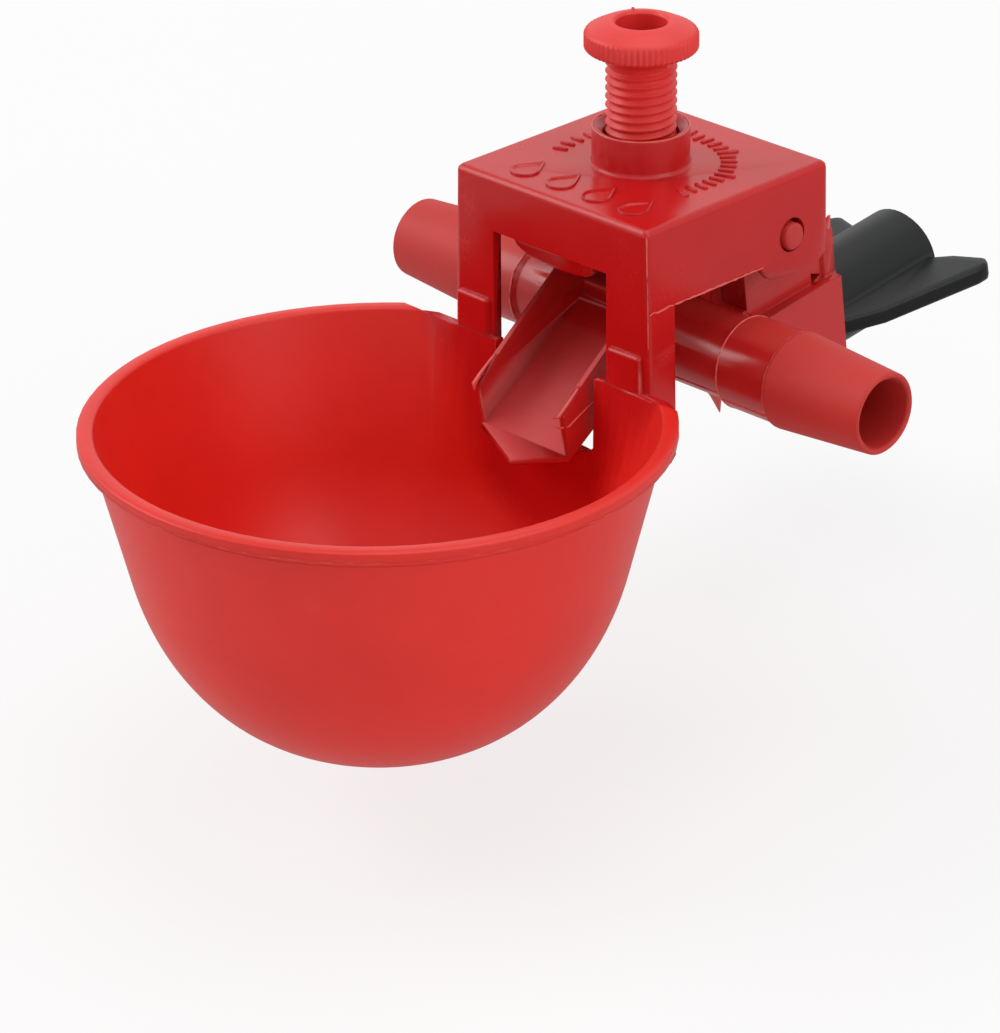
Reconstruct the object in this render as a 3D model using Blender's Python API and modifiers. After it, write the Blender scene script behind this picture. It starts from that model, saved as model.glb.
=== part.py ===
"""Tilting drinking cup for poultry, 80 mm, hung on a tee valve that a stud and a wing nut hold to a cage.

Modelled in millimetres about the tilt pin's axis, X to the right, Y to the rear, Z up, and scaled to metres.
The world's origin is on the stud's axis, at the rear face of the mounting plate.
"""

import math

import bmesh
import bpy
from mathutils import Matrix, Vector

MM = 0.001

# Clearances
SEAT_GAP = 0.3
CLOSED_GAP = 0.12
SLIDE_GAP = 0.3

# Small edges of the turned mouldings
EDGE_BREAK = 0.3

# Rest pose: the empty cup is lifted by its spring
REST_LIFT_DEG = 7.26

# Cup
CUP_RIM_R = 39.4
LIP_PROUD = 1.25
LIP_HEIGHT = 1.6
LIP_BLEND = 1.2
LIP_EDGE = 0.4
CUP_WALL = 1.0
CUP_DRAFT_DEG = 14.1
CUP_STRAIGHT = 21.2
CUP_DEPTH = 46.8
CUP_FOOT_R = 4.0
CUP_FULLNESS = 0.54
CUP_CORNER_R = 2.2
RIM_DROP = 13.6
BACK_WALL = 1.4
BACK_WALL_LAP = 0.45
BACK_WALL_LOW = 1.25
BACK_WALL_RAMP = 1.7
BACK_WALL_MARGIN = 4.4

# Cover and legs
COVER_HALF_WIDTH = 18.4
COVER_DRAFT = 0.02
COVER_FRONT = 29.35
COVER_REAR = 7.7
COVER_TOP = 9.14
COVER_WALL = 1.5
COVER_EDGE_R = 1.0
SIDE_DROP = 2.95
REAR_DROP = 3.0
LOBE_FRONT = 4.0
LOBE_DROP = 5.5
FRONT_EDGE = 1.0
LEG_FLANGE = 7.5
LEG_DEPTH = 5.45
LEG_DROP = 26.4
LEG_CHAMFER = 1.0
LEG_PAD_PROUD = 0.8
LEG_PAD_MARGIN = 0.75
LEG_PAD_DROP = 9.4
LEG_PAD_EDGE = 0.5
TONGUE_WIDTH = 14.8
TONGUE_DROP = 3.3
TONGUE_LEAN = 1.7
TONGUE_FULLNESS = 0.6
SLOT_MARGIN = 1.4
SLOT_CORNER_R = 1.2

# Adjusting screw and its boss
SCREW_REACH = 11.05
SCREW_R = 5.0
BOSS_WALL = 1.6
BOSS_HEIGHT = 5.6
BOSS_CHAMFER = 0.9
BOSS_FLARE = 0.4
BOSS_FLARE_HEIGHT = 0.8
SCREW_EXPOSED = 11.3
SCREW_RELIEF = 0.4
HEAD_R = 8.0
HEAD_HEIGHT = 4.1
HEAD_EDGE = 0.5
HEAD_LAND = 0.9
HEAD_SLOPE = 0.42
HEAD_CORE_R = 3.6
HEAD_CORE_DEPTH = 14.0
PAD_SOCKET_DEPTH = 4.6

# Valve pad
PAD_R = 2.7
PAD_HEIGHT = 2.56
PAD_EDGE = 0.3
PAD_SPIGOT_R = 1.5
PAD_SPIGOT = 4.0

# Water seat
SEAT_R = 2.9
SEAT_HEIGHT = 1.1
SEAT_CROWN_R = 1.6
SEAT_CROWN = 0.6
ORIFICE_R = 0.9

# Return spring
WIRE_R = 0.4
SPRING_MEAN_R = 3.95
SPRING_TURNS = 3.5

# Tee
TEE_HALF_LENGTH = 45.2
TUBE_REACH = 12.2
TUBE_DROP = 14.0
TUBE_R = 6.05
BORE_R = 4.85
BORE_CHAMFER = 0.5
MOUTH_R = 5.9
BARB_R = 7.05
BARB_LENGTH = 16.2
COLLAR_R = 6.7
COLLAR_LENGTH = 9.0

# Valve chamber and chute
CHAMBER_HALF_WIDTH = 8.45
CHAMBER_WALL = 0.85
CHAMBER_TOP = 1.0
PLATFORM_DROP = 7.6
PLATFORM_FRONT = 4.6
CHUTE_SLOPE = 0.517
CHUTE_FLOOR = 1.0
CHUTE_FLOOR_AT_PIN = 1.72
CHUTE_LENGTH = 37.4
CHUTE_NOSE = 3.2
CHUTE_WALL_HEIGHT = 7.3
CHUTE_WALL_REAR_HEIGHT = 8.1
CHUTE_SHOULDER = 21.6
CHUTE_NOSE_DIP = 1.1
CHUTE_DIP_LENGTH = 3.8

# Cheeks and pins
CHEEK_HALF_WIDTH = 13.5
CHEEK_THICKNESS = 1.5
CHEEK_FRONT = 5.0
CHEEK_TOP_R = 4.6
CHEEK_CHAMFER = 1.5
WEB_THICKNESS = 1.5
WEB_DROP = 13.0
SADDLE_RISE = 2.8
SADDLE_DROP = 1.6
STOP_DEPTH = 3.6
PIN_R = 2.0
PIN_PLAY = 0.5
PIN_HOLE_RISE = 0.2
PIN_PROUD = 0.8
PIN_CHAMFER = 0.4
SHOULDER_R = 4.0

# Mounting plate, gussets, stud and locating lug
PLATE_REAR = 13.0
PLATE_THICKNESS = 2.2
PLATE_HALF_WIDTH = 14.0
PLATE_TOP_DROP = 5.7
PLATE_BOTTOM_DROP = 37.5
GUSSET_HALF_WIDTH = 15.2
GUSSET_THICKNESS = 1.6
GUSSET_TIP_DROP = 40.3
GUSSET_TIP = 0.8
STUD_DROP = 27.0
STUD_R = 4.0
STUD_LENGTH = 25.0
STUD_CHAMFER = 0.8
LUG_THICKNESS = 2.0
LUG_LENGTH = 7.3
LUG_TOP_DROP = 9.6
LUG_UPPER = 2.2
LUG_GAP = 1.1
LUG_LOWER = 4.2
LUG_CHAMFER = 0.8
LUG_ROOT = 1.0

# Wing nut
NUT_R = 7.0
NUT_LENGTH = 27.5
NUT_GAP = 2.1
NUT_EDGE = 0.6
WING_SPAN = 15.9
WING_MID_SPAN = 12.0
WING_START = 0.3
WING_MID = 9.9
WING_TIP_START = 26.3
WING_OVERHANG = 2.5
WING_THICKNESS = 2.8
WING_EDGE = 0.7
NUT_ROLL_DEG = 3.5

# Facets
CUP_CORNER_STEPS = 16
CUP_ROUND_STEPS = 28
CUP_BOTTOM_STEPS = 9
TONGUE_STEPS = 14
TURN_STEPS = 40
SMALL_TURN_STEPS = 24

# Colours and surfaces
RED = (0.62, 0.02, 0.02, 1.0)
LIGHT_RED = (0.72, 0.05, 0.05, 1.0)
NUT_BLACK = (0.02, 0.02, 0.022, 1.0)
RUBBER_BLACK = (0.01, 0.01, 0.01, 1.0)
STEEL = (0.6, 0.6, 0.62, 1.0)

# Derived places, about the pin's axis
COVER_INNER_HALF = COVER_HALF_WIDTH - COVER_WALL
LEG_INNER = COVER_HALF_WIDTH - LEG_FLANGE
BACK_WALL_REAR = BACK_WALL_LAP - COVER_FRONT
BACK_WALL_FRONT = BACK_WALL_REAR - BACK_WALL
BACK_WALL_TO_AXIS = math.sqrt(CUP_RIM_R ** 2 - (COVER_HALF_WIDTH + BACK_WALL_MARGIN) ** 2)
LIP_R = CUP_RIM_R + LIP_PROUD
CUP_AXIS_Y = BACK_WALL_FRONT - BACK_WALL_TO_AXIS
BOSS_TOP = COVER_TOP + BOSS_HEIGHT
SEAT_TOP = SEAT_HEIGHT + SEAT_CROWN - PLATFORM_DROP
PAD_BOTTOM = SEAT_TOP + CLOSED_GAP
SCREW_TIP = PAD_BOTTOM + PAD_HEIGHT + SEAT_GAP
REST_LIFT = math.radians(REST_LIFT_DEG)
STOP_DROP = COVER_REAR * math.sin(REST_LIFT) + REAR_DROP * math.cos(REST_LIFT) + SEAT_GAP
PLATE_FRONT = PLATE_REAR - PLATE_THICKNESS
NUT_FRONT = PLATE_REAR + NUT_GAP
LAP = 0.4
STEP = 0.1
FAR = 90.0


def clear_scene():
    for obj in list(bpy.data.objects):
        bpy.data.objects.remove(obj, do_unlink=True)


def new_collection(name):
    collection = bpy.data.collections.new(name)
    bpy.context.scene.collection.children.link(collection)
    return collection


def material(name, color, roughness, metallic=0.0):
    made = bpy.data.materials.new(name)
    made.use_nodes = True
    shader = made.node_tree.nodes["Principled BSDF"]
    shader.inputs["Base Color"].default_value = color
    shader.inputs["Roughness"].default_value = roughness
    shader.inputs["Metallic"].default_value = metallic
    made.diffuse_color = color
    return made


def solid(name, points, faces):
    """A helper solid in millimetres, with its faces turned outwards."""
    mesh = bpy.data.meshes.new(name)
    mesh.from_pydata([tuple(point) for point in points], [], faces)
    outward(mesh)
    obj = bpy.data.objects.new(name, mesh)
    HELPERS.objects.link(obj)
    return obj


def outward(mesh):
    shape = bmesh.new()
    shape.from_mesh(mesh)
    bmesh.ops.remove_doubles(shape, verts=shape.verts, dist=1e-5)
    bmesh.ops.recalc_face_normals(shape, faces=shape.faces)
    shape.to_mesh(mesh)
    shape.free()


def baked(obj):
    """Fixes the modifiers and the placing into the mesh."""
    bpy.context.view_layer.update()
    graph = bpy.context.evaluated_depsgraph_get()
    mesh = bpy.data.meshes.new_from_object(obj.evaluated_get(graph))
    mesh.transform(obj.matrix_world)
    obj.modifiers.clear()
    obj.matrix_world = Matrix.Identity(4)
    obj.data = mesh
    outward(mesh)
    return obj


def skinned(name, rings, cap_low=True, cap_high=True):
    """A solid through rings of equal point count."""
    points = [point for ring in rings for point in ring]
    count = len(rings[0])
    faces = []
    for level in range(len(rings) - 1):
        low = level * count
        high = low + count
        for i in range(count):
            j = (i + 1) % count
            faces.append((low + i, low + j, high + j, high + i))
    if cap_low:
        faces.append(tuple(range(count)))
    if cap_high:
        faces.append(tuple(range(len(points) - count, len(points))))
    return solid(name, points, faces)


def prism(name, axis, outline, low, high):
    """An outline in the plane across X, Y or Z, run from low to high along that axis."""
    place = {
        "X": lambda u, v, along: (along, u, v),
        "Y": lambda u, v, along: (u, along, v),
        "Z": lambda u, v, along: (u, v, along),
    }[axis]
    return skinned(name, [[place(u, v, along) for u, v in outline] for along in (low, high)])


def box(name, low, high):
    outline = [(low[0], low[1]), (high[0], low[1]), (high[0], high[1]), (low[0], high[1])]
    return prism(name, "Z", outline, low[2], high[2])


def rounded(obj, width, segments=2):
    modifier = obj.modifiers.new("Edges", "BEVEL")
    modifier.width = width
    modifier.segments = segments
    modifier.limit_method = "ANGLE"
    modifier.angle_limit = math.radians(40)
    return baked(obj)


def turned(name, profile, axis="Z", centre=(0, 0, 0), steps=TURN_STEPS):
    """A turned solid: (radius, height) pairs from end to end of the axis, or round a ring's section."""
    mesh = bpy.data.meshes.new(name)
    count = len(profile)
    edges = [(i, i + 1) for i in range(count - 1)]
    if profile[0][0] > 0 or profile[-1][0] > 0:
        edges.append((count - 1, 0))
    mesh.from_pydata([(radius, 0, height) for radius, height in profile], edges, [])
    obj = bpy.data.objects.new(name, mesh)
    HELPERS.objects.link(obj)
    screw = obj.modifiers.new("Turn", "SCREW")
    screw.steps = steps
    screw.render_steps = steps
    screw.use_merge_vertices = True
    screw.merge_threshold = 1e-4
    turn = {
        "X": Matrix.Rotation(math.pi / 2, 4, "Y"),
        "Y": Matrix.Rotation(-math.pi / 2, 4, "X"),
        "Z": Matrix.Identity(4),
    }[axis]
    obj.matrix_world = Matrix.Translation(Vector(centre)) @ turn
    return baked(obj)


def combined(base, operation, others):
    for other in others:
        modifier = base.modifiers.new(other.name, "BOOLEAN")
        modifier.operation = operation
        modifier.solver = "EXACT"
        modifier.object = other
    baked(base)
    for other in others:
        bpy.data.objects.remove(other, do_unlink=True)
    return base


def mirrored_pair(name, make):
    """The same solid on the right side and, mirrored, on the left."""
    right = make(name + "_right")
    left = make(name + "_left")
    left.matrix_world = Matrix.Scale(-1, 4, Vector((1, 0, 0)))
    return [right, baked(left)]


def node(obj, name, surface, parent, origin=(0, 0, 0)):
    """Turns a helper solid into a piece of the cup, with its own origin and material, in metres."""
    obj.name = name
    obj.data.name = name
    obj.data.transform(Matrix.Scale(MM, 4) @ Matrix.Translation(-Vector(origin)))
    HELPERS.objects.unlink(obj)
    PIECES.objects.link(obj)
    obj.parent = parent
    obj.location = Vector(origin) * MM
    obj.data.materials.clear()
    obj.data.materials.append(surface)
    for face in obj.data.polygons:
        face.use_smooth = True
        face.material_index = 0
    obj.data.set_sharp_from_angle(angle=math.radians(30))
    return obj


def empty(name, location, parent=None, lift=0.0):
    made = bpy.data.objects.new(name, None)
    PIECES.objects.link(made)
    made.parent = parent
    made.location = location
    made.rotation_euler = (-lift, 0, 0)
    return made


# Cup


def cup_profile():
    """Outer (radius, depth) pairs of the bare wall, from under the lip to the foot."""
    slope = math.tan(math.radians(CUP_DRAFT_DEG))
    start = Vector((CUP_RIM_R - CUP_STRAIGHT * slope, CUP_STRAIGHT))
    end = Vector((CUP_FOOT_R, CUP_DEPTH))
    drop = CUP_FULLNESS * (end.y - start.y)
    first = start + Vector((-drop * slope, drop))
    second = Vector((end.x + CUP_FULLNESS * (start.x - end.x), end.y))
    profile = [(CUP_RIM_R, 0.0)]
    for i in range(CUP_BOTTOM_STEPS + 1):
        t = i / CUP_BOTTOM_STEPS
        point = (
            start * (1 - t) ** 3
            + first * 3 * t * (1 - t) ** 2
            + second * 3 * t * t * (1 - t)
            + end * t ** 3
        )
        profile.append((point.x, point.y))
    return profile


def inset_profile(profile, distance):
    """The profile moved inwards by the wall, square to itself."""
    moved = []
    for i, (radius, depth) in enumerate(profile):
        before = Vector(profile[max(i - 1, 0)])
        after = Vector(profile[min(i + 1, len(profile) - 1)])
        if i == len(profile) - 1:
            before = Vector((radius + 1, depth))
            after = Vector((radius, depth))
        along = (after - before).normalized()
        moved.append((radius - along.y * distance, depth + along.x * distance))
    return moved


def reach(angle, radius, flat, corner):
    """Distance from the cup's axis to its outline: a circle cut off by a flat with rounded corners."""
    if radius <= flat + 0.01:
        return radius
    centre_r = radius - corner
    turn = math.acos((flat - corner) / centre_r)
    centre = Vector((centre_r * math.sin(turn), flat - corner))
    if angle >= turn:
        return radius
    if angle <= math.atan2(centre.x, flat):
        return flat / math.cos(angle)
    ray = Vector((math.sin(angle), math.cos(angle)))
    along = ray.dot(centre)
    return along + math.sqrt(along * along - centre.length_squared + corner * corner)


def cup_ring(radius, depth, flat, corner):
    corner_end = math.radians(45)
    half = [corner_end * i / CUP_CORNER_STEPS for i in range(CUP_CORNER_STEPS)]
    half += [
        corner_end + (math.pi - corner_end) * i / CUP_ROUND_STEPS for i in range(CUP_ROUND_STEPS)
    ]
    angles = half + [math.pi] + [-angle for angle in reversed(half[1:])]
    ring = []
    for angle in angles:
        far = reach(abs(angle), radius, flat, corner)
        ring.append(
            (far * math.sin(angle), CUP_AXIS_Y + far * math.cos(angle), -RIM_DROP - depth)
        )
    return ring


def cup():
    """Round-bottomed cup with a thick lip and a flat back wall, as one skin from foot to lip and back down."""
    wall = cup_profile()
    slope = math.tan(math.radians(CUP_DRAFT_DEG))
    outer_flat = BACK_WALL_REAR - CUP_AXIS_Y
    inner_flat = BACK_WALL_TO_AXIS
    inner_corner = CUP_CORNER_R - BACK_WALL / 2
    rings = [cup_ring(r, d, outer_flat, CUP_CORNER_R) for r, d in reversed(wall[1:])]
    proud = LIP_R - (CUP_RIM_R - LIP_HEIGHT * slope)
    for share in (1.0, 0.66, 0.33, 0.0):
        depth = LIP_HEIGHT + share * LIP_BLEND
        radius = CUP_RIM_R - depth * slope + proud * (1 - share) ** 2
        rings.append(cup_ring(radius, depth, outer_flat, CUP_CORNER_R))
    rings.append(cup_ring(LIP_R, LIP_EDGE, outer_flat, CUP_CORNER_R))
    rings.append(cup_ring(LIP_R - LIP_EDGE, 0, outer_flat, CUP_CORNER_R - LIP_EDGE))
    inner = inset_profile(wall, CUP_WALL)
    rim_in = CUP_RIM_R - CUP_WALL / math.cos(math.radians(CUP_DRAFT_DEG))
    rings.append(cup_ring(rim_in + LIP_EDGE, 0, inner_flat, inner_corner))
    rings.append(cup_ring(rim_in - LIP_EDGE * slope, LIP_EDGE, inner_flat, inner_corner))
    rings += [cup_ring(r, d, inner_flat, inner_corner) for r, d in inner[1:]]
    made = skinned("cup", rings)
    ramp = BACK_WALL_FRONT - STEP
    low_top = prism(
        "back_wall_top",
        "X",
        [
            (BACK_WALL_REAR + 1, 1 - RIM_DROP),
            (BACK_WALL_REAR + 1, -RIM_DROP - BACK_WALL_LOW),
            (ramp, -RIM_DROP - BACK_WALL_LOW),
            (ramp - BACK_WALL_RAMP, STEP - RIM_DROP),
            (ramp - BACK_WALL_RAMP, 1 - RIM_DROP),
        ],
        -LIP_R,
        LIP_R,
    )
    return combined(made, "DIFFERENCE", [low_top])


def slot():
    """Gap in the back wall, between the legs, that the chute reaches through."""
    half = LEG_INNER - SLOT_MARGIN
    low = -LEG_DROP - STEP
    return prism(
        "slot",
        "Y",
        [
            (-half, 1 - RIM_DROP),
            (-half, low + SLOT_CORNER_R),
            (SLOT_CORNER_R - half, low),
            (half - SLOT_CORNER_R, low),
            (half, low + SLOT_CORNER_R),
            (half, 1 - RIM_DROP),
        ],
        BACK_WALL_FRONT - 3,
        BACK_WALL_REAR + 1,
    )


# Cover, legs and boss


def cover_and_legs():
    """Open-bottomed cover with two L-section legs: a rounded block, trimmed to its side view, then hollowed."""
    rings = []
    for z in (-FAR, COVER_TOP):
        half = COVER_HALF_WIDTH + COVER_DRAFT * (COVER_TOP - z)
        rings.append(
            [
                (-half, -COVER_FRONT, z),
                (half, -COVER_FRONT, z),
                (half, COVER_REAR, z),
                (-half, COVER_REAR, z),
            ]
        )
    made = rounded(skinned("cover", rings), COVER_EDGE_R, 3)
    leg_rear = LEG_DEPTH - COVER_FRONT
    lobe_slant = LOBE_DROP - SIDE_DROP
    side_view = prism(
        "side_view",
        "X",
        [
            (-COVER_FRONT - 1, COVER_TOP + 1),
            (-COVER_FRONT - 1, -LEG_DROP),
            (leg_rear - LEG_CHAMFER, -LEG_DROP),
            (leg_rear, LEG_CHAMFER - LEG_DROP),
            (leg_rear, -SIDE_DROP),
            (-LOBE_FRONT - lobe_slant, -SIDE_DROP),
            (-LOBE_FRONT, -LOBE_DROP),
            (COVER_REAR - lobe_slant, -LOBE_DROP),
            (COVER_REAR + 1, -REAR_DROP),
            (COVER_REAR + 1, COVER_TOP + 1),
        ],
        -COVER_HALF_WIDTH - COVER_DRAFT * FAR,
        COVER_HALF_WIDTH + COVER_DRAFT * FAR,
    )
    combined(made, "INTERSECT", [side_view])
    hollow = box(
        "hollow",
        (-COVER_INNER_HALF, COVER_WALL - COVER_FRONT, -FAR),
        (COVER_INNER_HALF, COVER_REAR - COVER_WALL, COVER_TOP - COVER_WALL),
    )
    front_opening = box(
        "front_opening",
        (-LEG_INNER, -COVER_FRONT - 1, -FAR),
        (LEG_INNER, COVER_WALL - COVER_FRONT + 1, FRONT_EDGE),
    )
    rear_opening = box(
        "rear_opening",
        (-COVER_INNER_HALF, COVER_REAR - COVER_WALL - 1, -FAR),
        (COVER_INNER_HALF, COVER_REAR + 2, -REAR_DROP),
    )
    return combined(made, "DIFFERENCE", [hollow, front_opening, rear_opening])


def tongue():
    """Drip tongue with a rounded edge, which hangs from the front wall and leans back over the chute."""
    half = TONGUE_WIDTH / 2
    outline = [(half, FRONT_EDGE + LAP), (-half, FRONT_EDGE + LAP)]
    for i in range(TONGUE_STEPS + 1):
        turn = math.pi * i / TONGUE_STEPS
        drop = TONGUE_DROP * math.sin(turn) ** TONGUE_FULLNESS if 0 < i < TONGUE_STEPS else 0.0
        outline.append((-half * math.cos(turn), FRONT_EDGE - drop))
    rings = []
    for face in (LAP - COVER_FRONT, COVER_WALL - STEP - COVER_FRONT):
        lean = TONGUE_LEAN / TONGUE_DROP
        rings.append([(x, face + lean * (FRONT_EDGE - z), z) for x, z in outline])
    return skinned("tongue", rings)


def boss():
    outer = BOSS_WALL + SCREW_R + SLIDE_GAP
    return turned(
        "boss",
        [
            (0, BOSS_TOP),
            (outer - EDGE_BREAK, BOSS_TOP),
            (outer, BOSS_TOP - EDGE_BREAK),
            (outer, COVER_TOP + BOSS_FLARE_HEIGHT),
            (outer + BOSS_FLARE, COVER_TOP),
            (outer + BOSS_FLARE, COVER_TOP - LAP),
            (0, COVER_TOP - LAP),
        ],
        centre=(0, -SCREW_REACH, 0),
    )


def screw_hole():
    bore = SCREW_R + SLIDE_GAP
    return turned(
        "screw_hole",
        [
            (0, BOSS_TOP + 1),
            (bore + BOSS_CHAMFER, BOSS_TOP + 1),
            (bore + BOSS_CHAMFER, BOSS_TOP),
            (bore, BOSS_TOP - BOSS_CHAMFER),
            (bore, 0),
            (0, 0),
        ],
        centre=(0, -SCREW_REACH, 0),
    )


def leg_pads():
    """The cup's back wall runs up each leg as a low pad."""
    inner = LEG_INNER + LEG_PAD_MARGIN

    def make(name):
        return rounded(
            box(
                name,
                (inner, -COVER_FRONT - LEG_PAD_PROUD, -RIM_DROP - BACK_WALL_LOW - 3),
                (COVER_HALF_WIDTH - LEG_PAD_MARGIN, LAP - COVER_FRONT, -LEG_PAD_DROP),
            ),
            LEG_PAD_EDGE,
            2,
        )

    return mirrored_pair("leg_pad", make)


def pin_holes():
    span = COVER_HALF_WIDTH + 1
    hole = PIN_R + PIN_PLAY
    return turned(
        "pin_holes",
        [(0, span), (hole, span), (hole, -span), (0, -span)],
        axis="X",
        centre=(0, 0, PIN_HOLE_RISE),
        steps=SMALL_TURN_STEPS,
    )


def cup_frame():
    made = cover_and_legs()
    combined(made, "UNION", [boss(), tongue()])
    combined(made, "DIFFERENCE", [screw_hole(), pin_holes()])
    combined(made, "UNION", [*leg_pads(), cup()])
    return combined(made, "DIFFERENCE", [slot()])


# Adjusting screw, pad and spring


def adjusting_screw():
    """Round-headed screw with a cored head and a socket for the pad in its tip."""
    head_low = BOSS_TOP + SCREW_EXPOSED
    crown = head_low + HEAD_HEIGHT
    land = HEAD_CORE_R + HEAD_LAND
    brow = crown - HEAD_SLOPE * (HEAD_R - HEAD_EDGE - land)
    core = crown - HEAD_CORE_DEPTH
    socket = PAD_SPIGOT_R + SLIDE_GAP
    made = turned(
        "screw",
        [
            (0, core),
            (HEAD_CORE_R, core),
            (HEAD_CORE_R, crown - HEAD_EDGE),
            (HEAD_CORE_R + HEAD_EDGE, crown),
            (land, crown),
            (HEAD_R - HEAD_EDGE, brow),
            (HEAD_R, brow - HEAD_EDGE),
            (HEAD_R, head_low + HEAD_EDGE),
            (HEAD_R - HEAD_EDGE, head_low),
            (SCREW_R + HEAD_EDGE, head_low),
            (SCREW_R, head_low - HEAD_EDGE),
            (SCREW_R, SCREW_TIP + SCREW_RELIEF),
            (SCREW_R - SCREW_RELIEF, SCREW_TIP),
            (socket, SCREW_TIP),
            (socket, SCREW_TIP + PAD_SOCKET_DEPTH),
            (0, SCREW_TIP + PAD_SOCKET_DEPTH),
        ],
        steps=TURN_STEPS,
    )
    return made


def valve_pad():
    """Rubber button: a flat face for the seat and a spigot that plugs into the screw's tip."""
    top = PAD_BOTTOM + PAD_HEIGHT
    return turned(
        "pad",
        [
            (0, top + PAD_SPIGOT),
            (PAD_SPIGOT_R - PAD_EDGE, top + PAD_SPIGOT),
            (PAD_SPIGOT_R, top + PAD_SPIGOT - PAD_EDGE),
            (PAD_SPIGOT_R, top),
            (PAD_R - PAD_EDGE, top),
            (PAD_R, top - PAD_EDGE),
            (PAD_R, PAD_BOTTOM + PAD_EDGE),
            (PAD_R - PAD_EDGE, PAD_BOTTOM),
            (0, PAD_BOTTOM),
        ],
        steps=SMALL_TURN_STEPS,
    )


def return_spring():
    """Coil from the chamber's floor to the screw's tip, leaning with it as the lifted cup holds it."""
    tip = SCREW_REACH * math.sin(REST_LIFT) + SCREW_TIP * math.cos(REST_LIFT)
    lean = SCREW_REACH * (1 - math.cos(REST_LIFT)) + SCREW_TIP * math.sin(REST_LIFT)
    low = WIRE_R + SEAT_GAP - PLATFORM_DROP
    high = tip - SCREW_R * math.sin(REST_LIFT) - SEAT_GAP - WIRE_R
    count = int(SPRING_TURNS * 16)
    curve = bpy.data.curves.new("coil", "CURVE")
    curve.dimensions = "3D"
    curve.bevel_depth = WIRE_R
    curve.bevel_resolution = 2
    curve.use_fill_caps = True
    spline = curve.splines.new("POLY")
    spline.points.add(count)
    for i, point in enumerate(spline.points):
        turn = 2 * math.pi * SPRING_TURNS * i / count
        point.co = (
            SPRING_MEAN_R * math.sin(turn),
            SPRING_MEAN_R * math.cos(turn) + lean * i / count,
            low + (high - low) * i / count,
            1,
        )
    coil = bpy.data.objects.new("coil", curve)
    HELPERS.objects.link(coil)
    bpy.context.view_layer.update()
    mesh = bpy.data.meshes.new_from_object(coil.evaluated_get(bpy.context.evaluated_depsgraph_get()))
    bpy.data.objects.remove(coil, do_unlink=True)
    outward(mesh)
    made = bpy.data.objects.new("spring", mesh)
    HELPERS.objects.link(made)
    return made


# Valve body


def chute_floor(y):
    """Height of the chute's floor at a distance in front of the pin."""
    return -CHUTE_FLOOR_AT_PIN + CHUTE_SLOPE * y


def chamber_and_chute():
    """Water chamber round the seat, open at the front into the sloping chute with a pointed lip."""
    dip = CHUTE_DIP_LENGTH - CHUTE_LENGTH
    nose = -CHUTE_LENGTH - CHUTE_NOSE
    shoulder = chute_floor(-CHUTE_SHOULDER) + CHUTE_WALL_REAR_HEIGHT
    rise = (shoulder - chute_floor(dip) - CHUTE_WALL_HEIGHT) / (-CHUTE_SHOULDER - dip)
    top_front = -CHUTE_SHOULDER + (-CHAMBER_TOP - shoulder) / rise
    rear = WEB_THICKNESS - CHEEK_FRONT
    outline = [
        (rear, -CHAMBER_TOP),
        (top_front, -CHAMBER_TOP),
        (-CHUTE_SHOULDER, shoulder),
        (dip, chute_floor(dip) + CHUTE_WALL_HEIGHT),
        (-CHUTE_LENGTH, chute_floor(-CHUTE_LENGTH) + CHUTE_WALL_HEIGHT - CHUTE_NOSE_DIP),
        (-CHUTE_LENGTH, chute_floor(-CHUTE_LENGTH) - STEP / 2),
        (nose, chute_floor(nose) - STEP / 2),
        (nose, chute_floor(nose) - CHUTE_FLOOR),
        (-TUBE_REACH - TUBE_R, chute_floor(-TUBE_REACH - TUBE_R) - CHUTE_FLOOR),
        (-TUBE_REACH - TUBE_R / 2, -TUBE_DROP),
        (-TUBE_REACH + TUBE_R / 2, -TUBE_DROP),
        (rear, -TUBE_DROP),
    ]
    made = prism("chamber", "X", outline, -CHAMBER_HALF_WIDTH, CHAMBER_HALF_WIDTH)
    step = -SCREW_REACH - PLATFORM_FRONT
    inner = CHAMBER_HALF_WIDTH - CHAMBER_WALL
    hollow = prism(
        "chamber_hollow",
        "X",
        [
            (-CHEEK_FRONT, FAR),
            (-CHEEK_FRONT, -PLATFORM_DROP),
            (step, -PLATFORM_DROP),
            (step, chute_floor(step)),
            (-CHUTE_LENGTH - LAP, chute_floor(-CHUTE_LENGTH - LAP)),
            (-CHUTE_LENGTH - LAP, FAR),
        ],
        -inner,
        inner,
    )

    def corner(name):
        slant = CHUTE_NOSE / CHAMBER_HALF_WIDTH
        outer = CHAMBER_HALF_WIDTH + 1
        return prism(
            name,
            "Z",
            [(0, nose - 0.01), (outer, nose - 0.01 + slant * outer), (outer, nose - 2), (0, nose - 2)],
            -FAR,
            FAR,
        )

    return combined(made, "DIFFERENCE", [hollow, *mirrored_pair("nose_corner", corner)])


def tee():
    """Cross tube with a hose barb at each end."""
    barb = TEE_HALF_LENGTH - BARB_LENGTH
    collar = barb - COLLAR_LENGTH
    half = [
        (0, TEE_HALF_LENGTH),
        (MOUTH_R - EDGE_BREAK, TEE_HALF_LENGTH),
        (MOUTH_R, TEE_HALF_LENGTH - EDGE_BREAK),
        (BARB_R, barb + EDGE_BREAK),
        (BARB_R, barb),
        (COLLAR_R, barb),
        (COLLAR_R, collar),
        (TUBE_R, collar - EDGE_BREAK),
    ]
    profile = half + [(radius, -height) for radius, height in reversed(half)]
    return turned("tee", profile, axis="X", centre=(0, -TUBE_REACH, -TUBE_DROP), steps=48)


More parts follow.
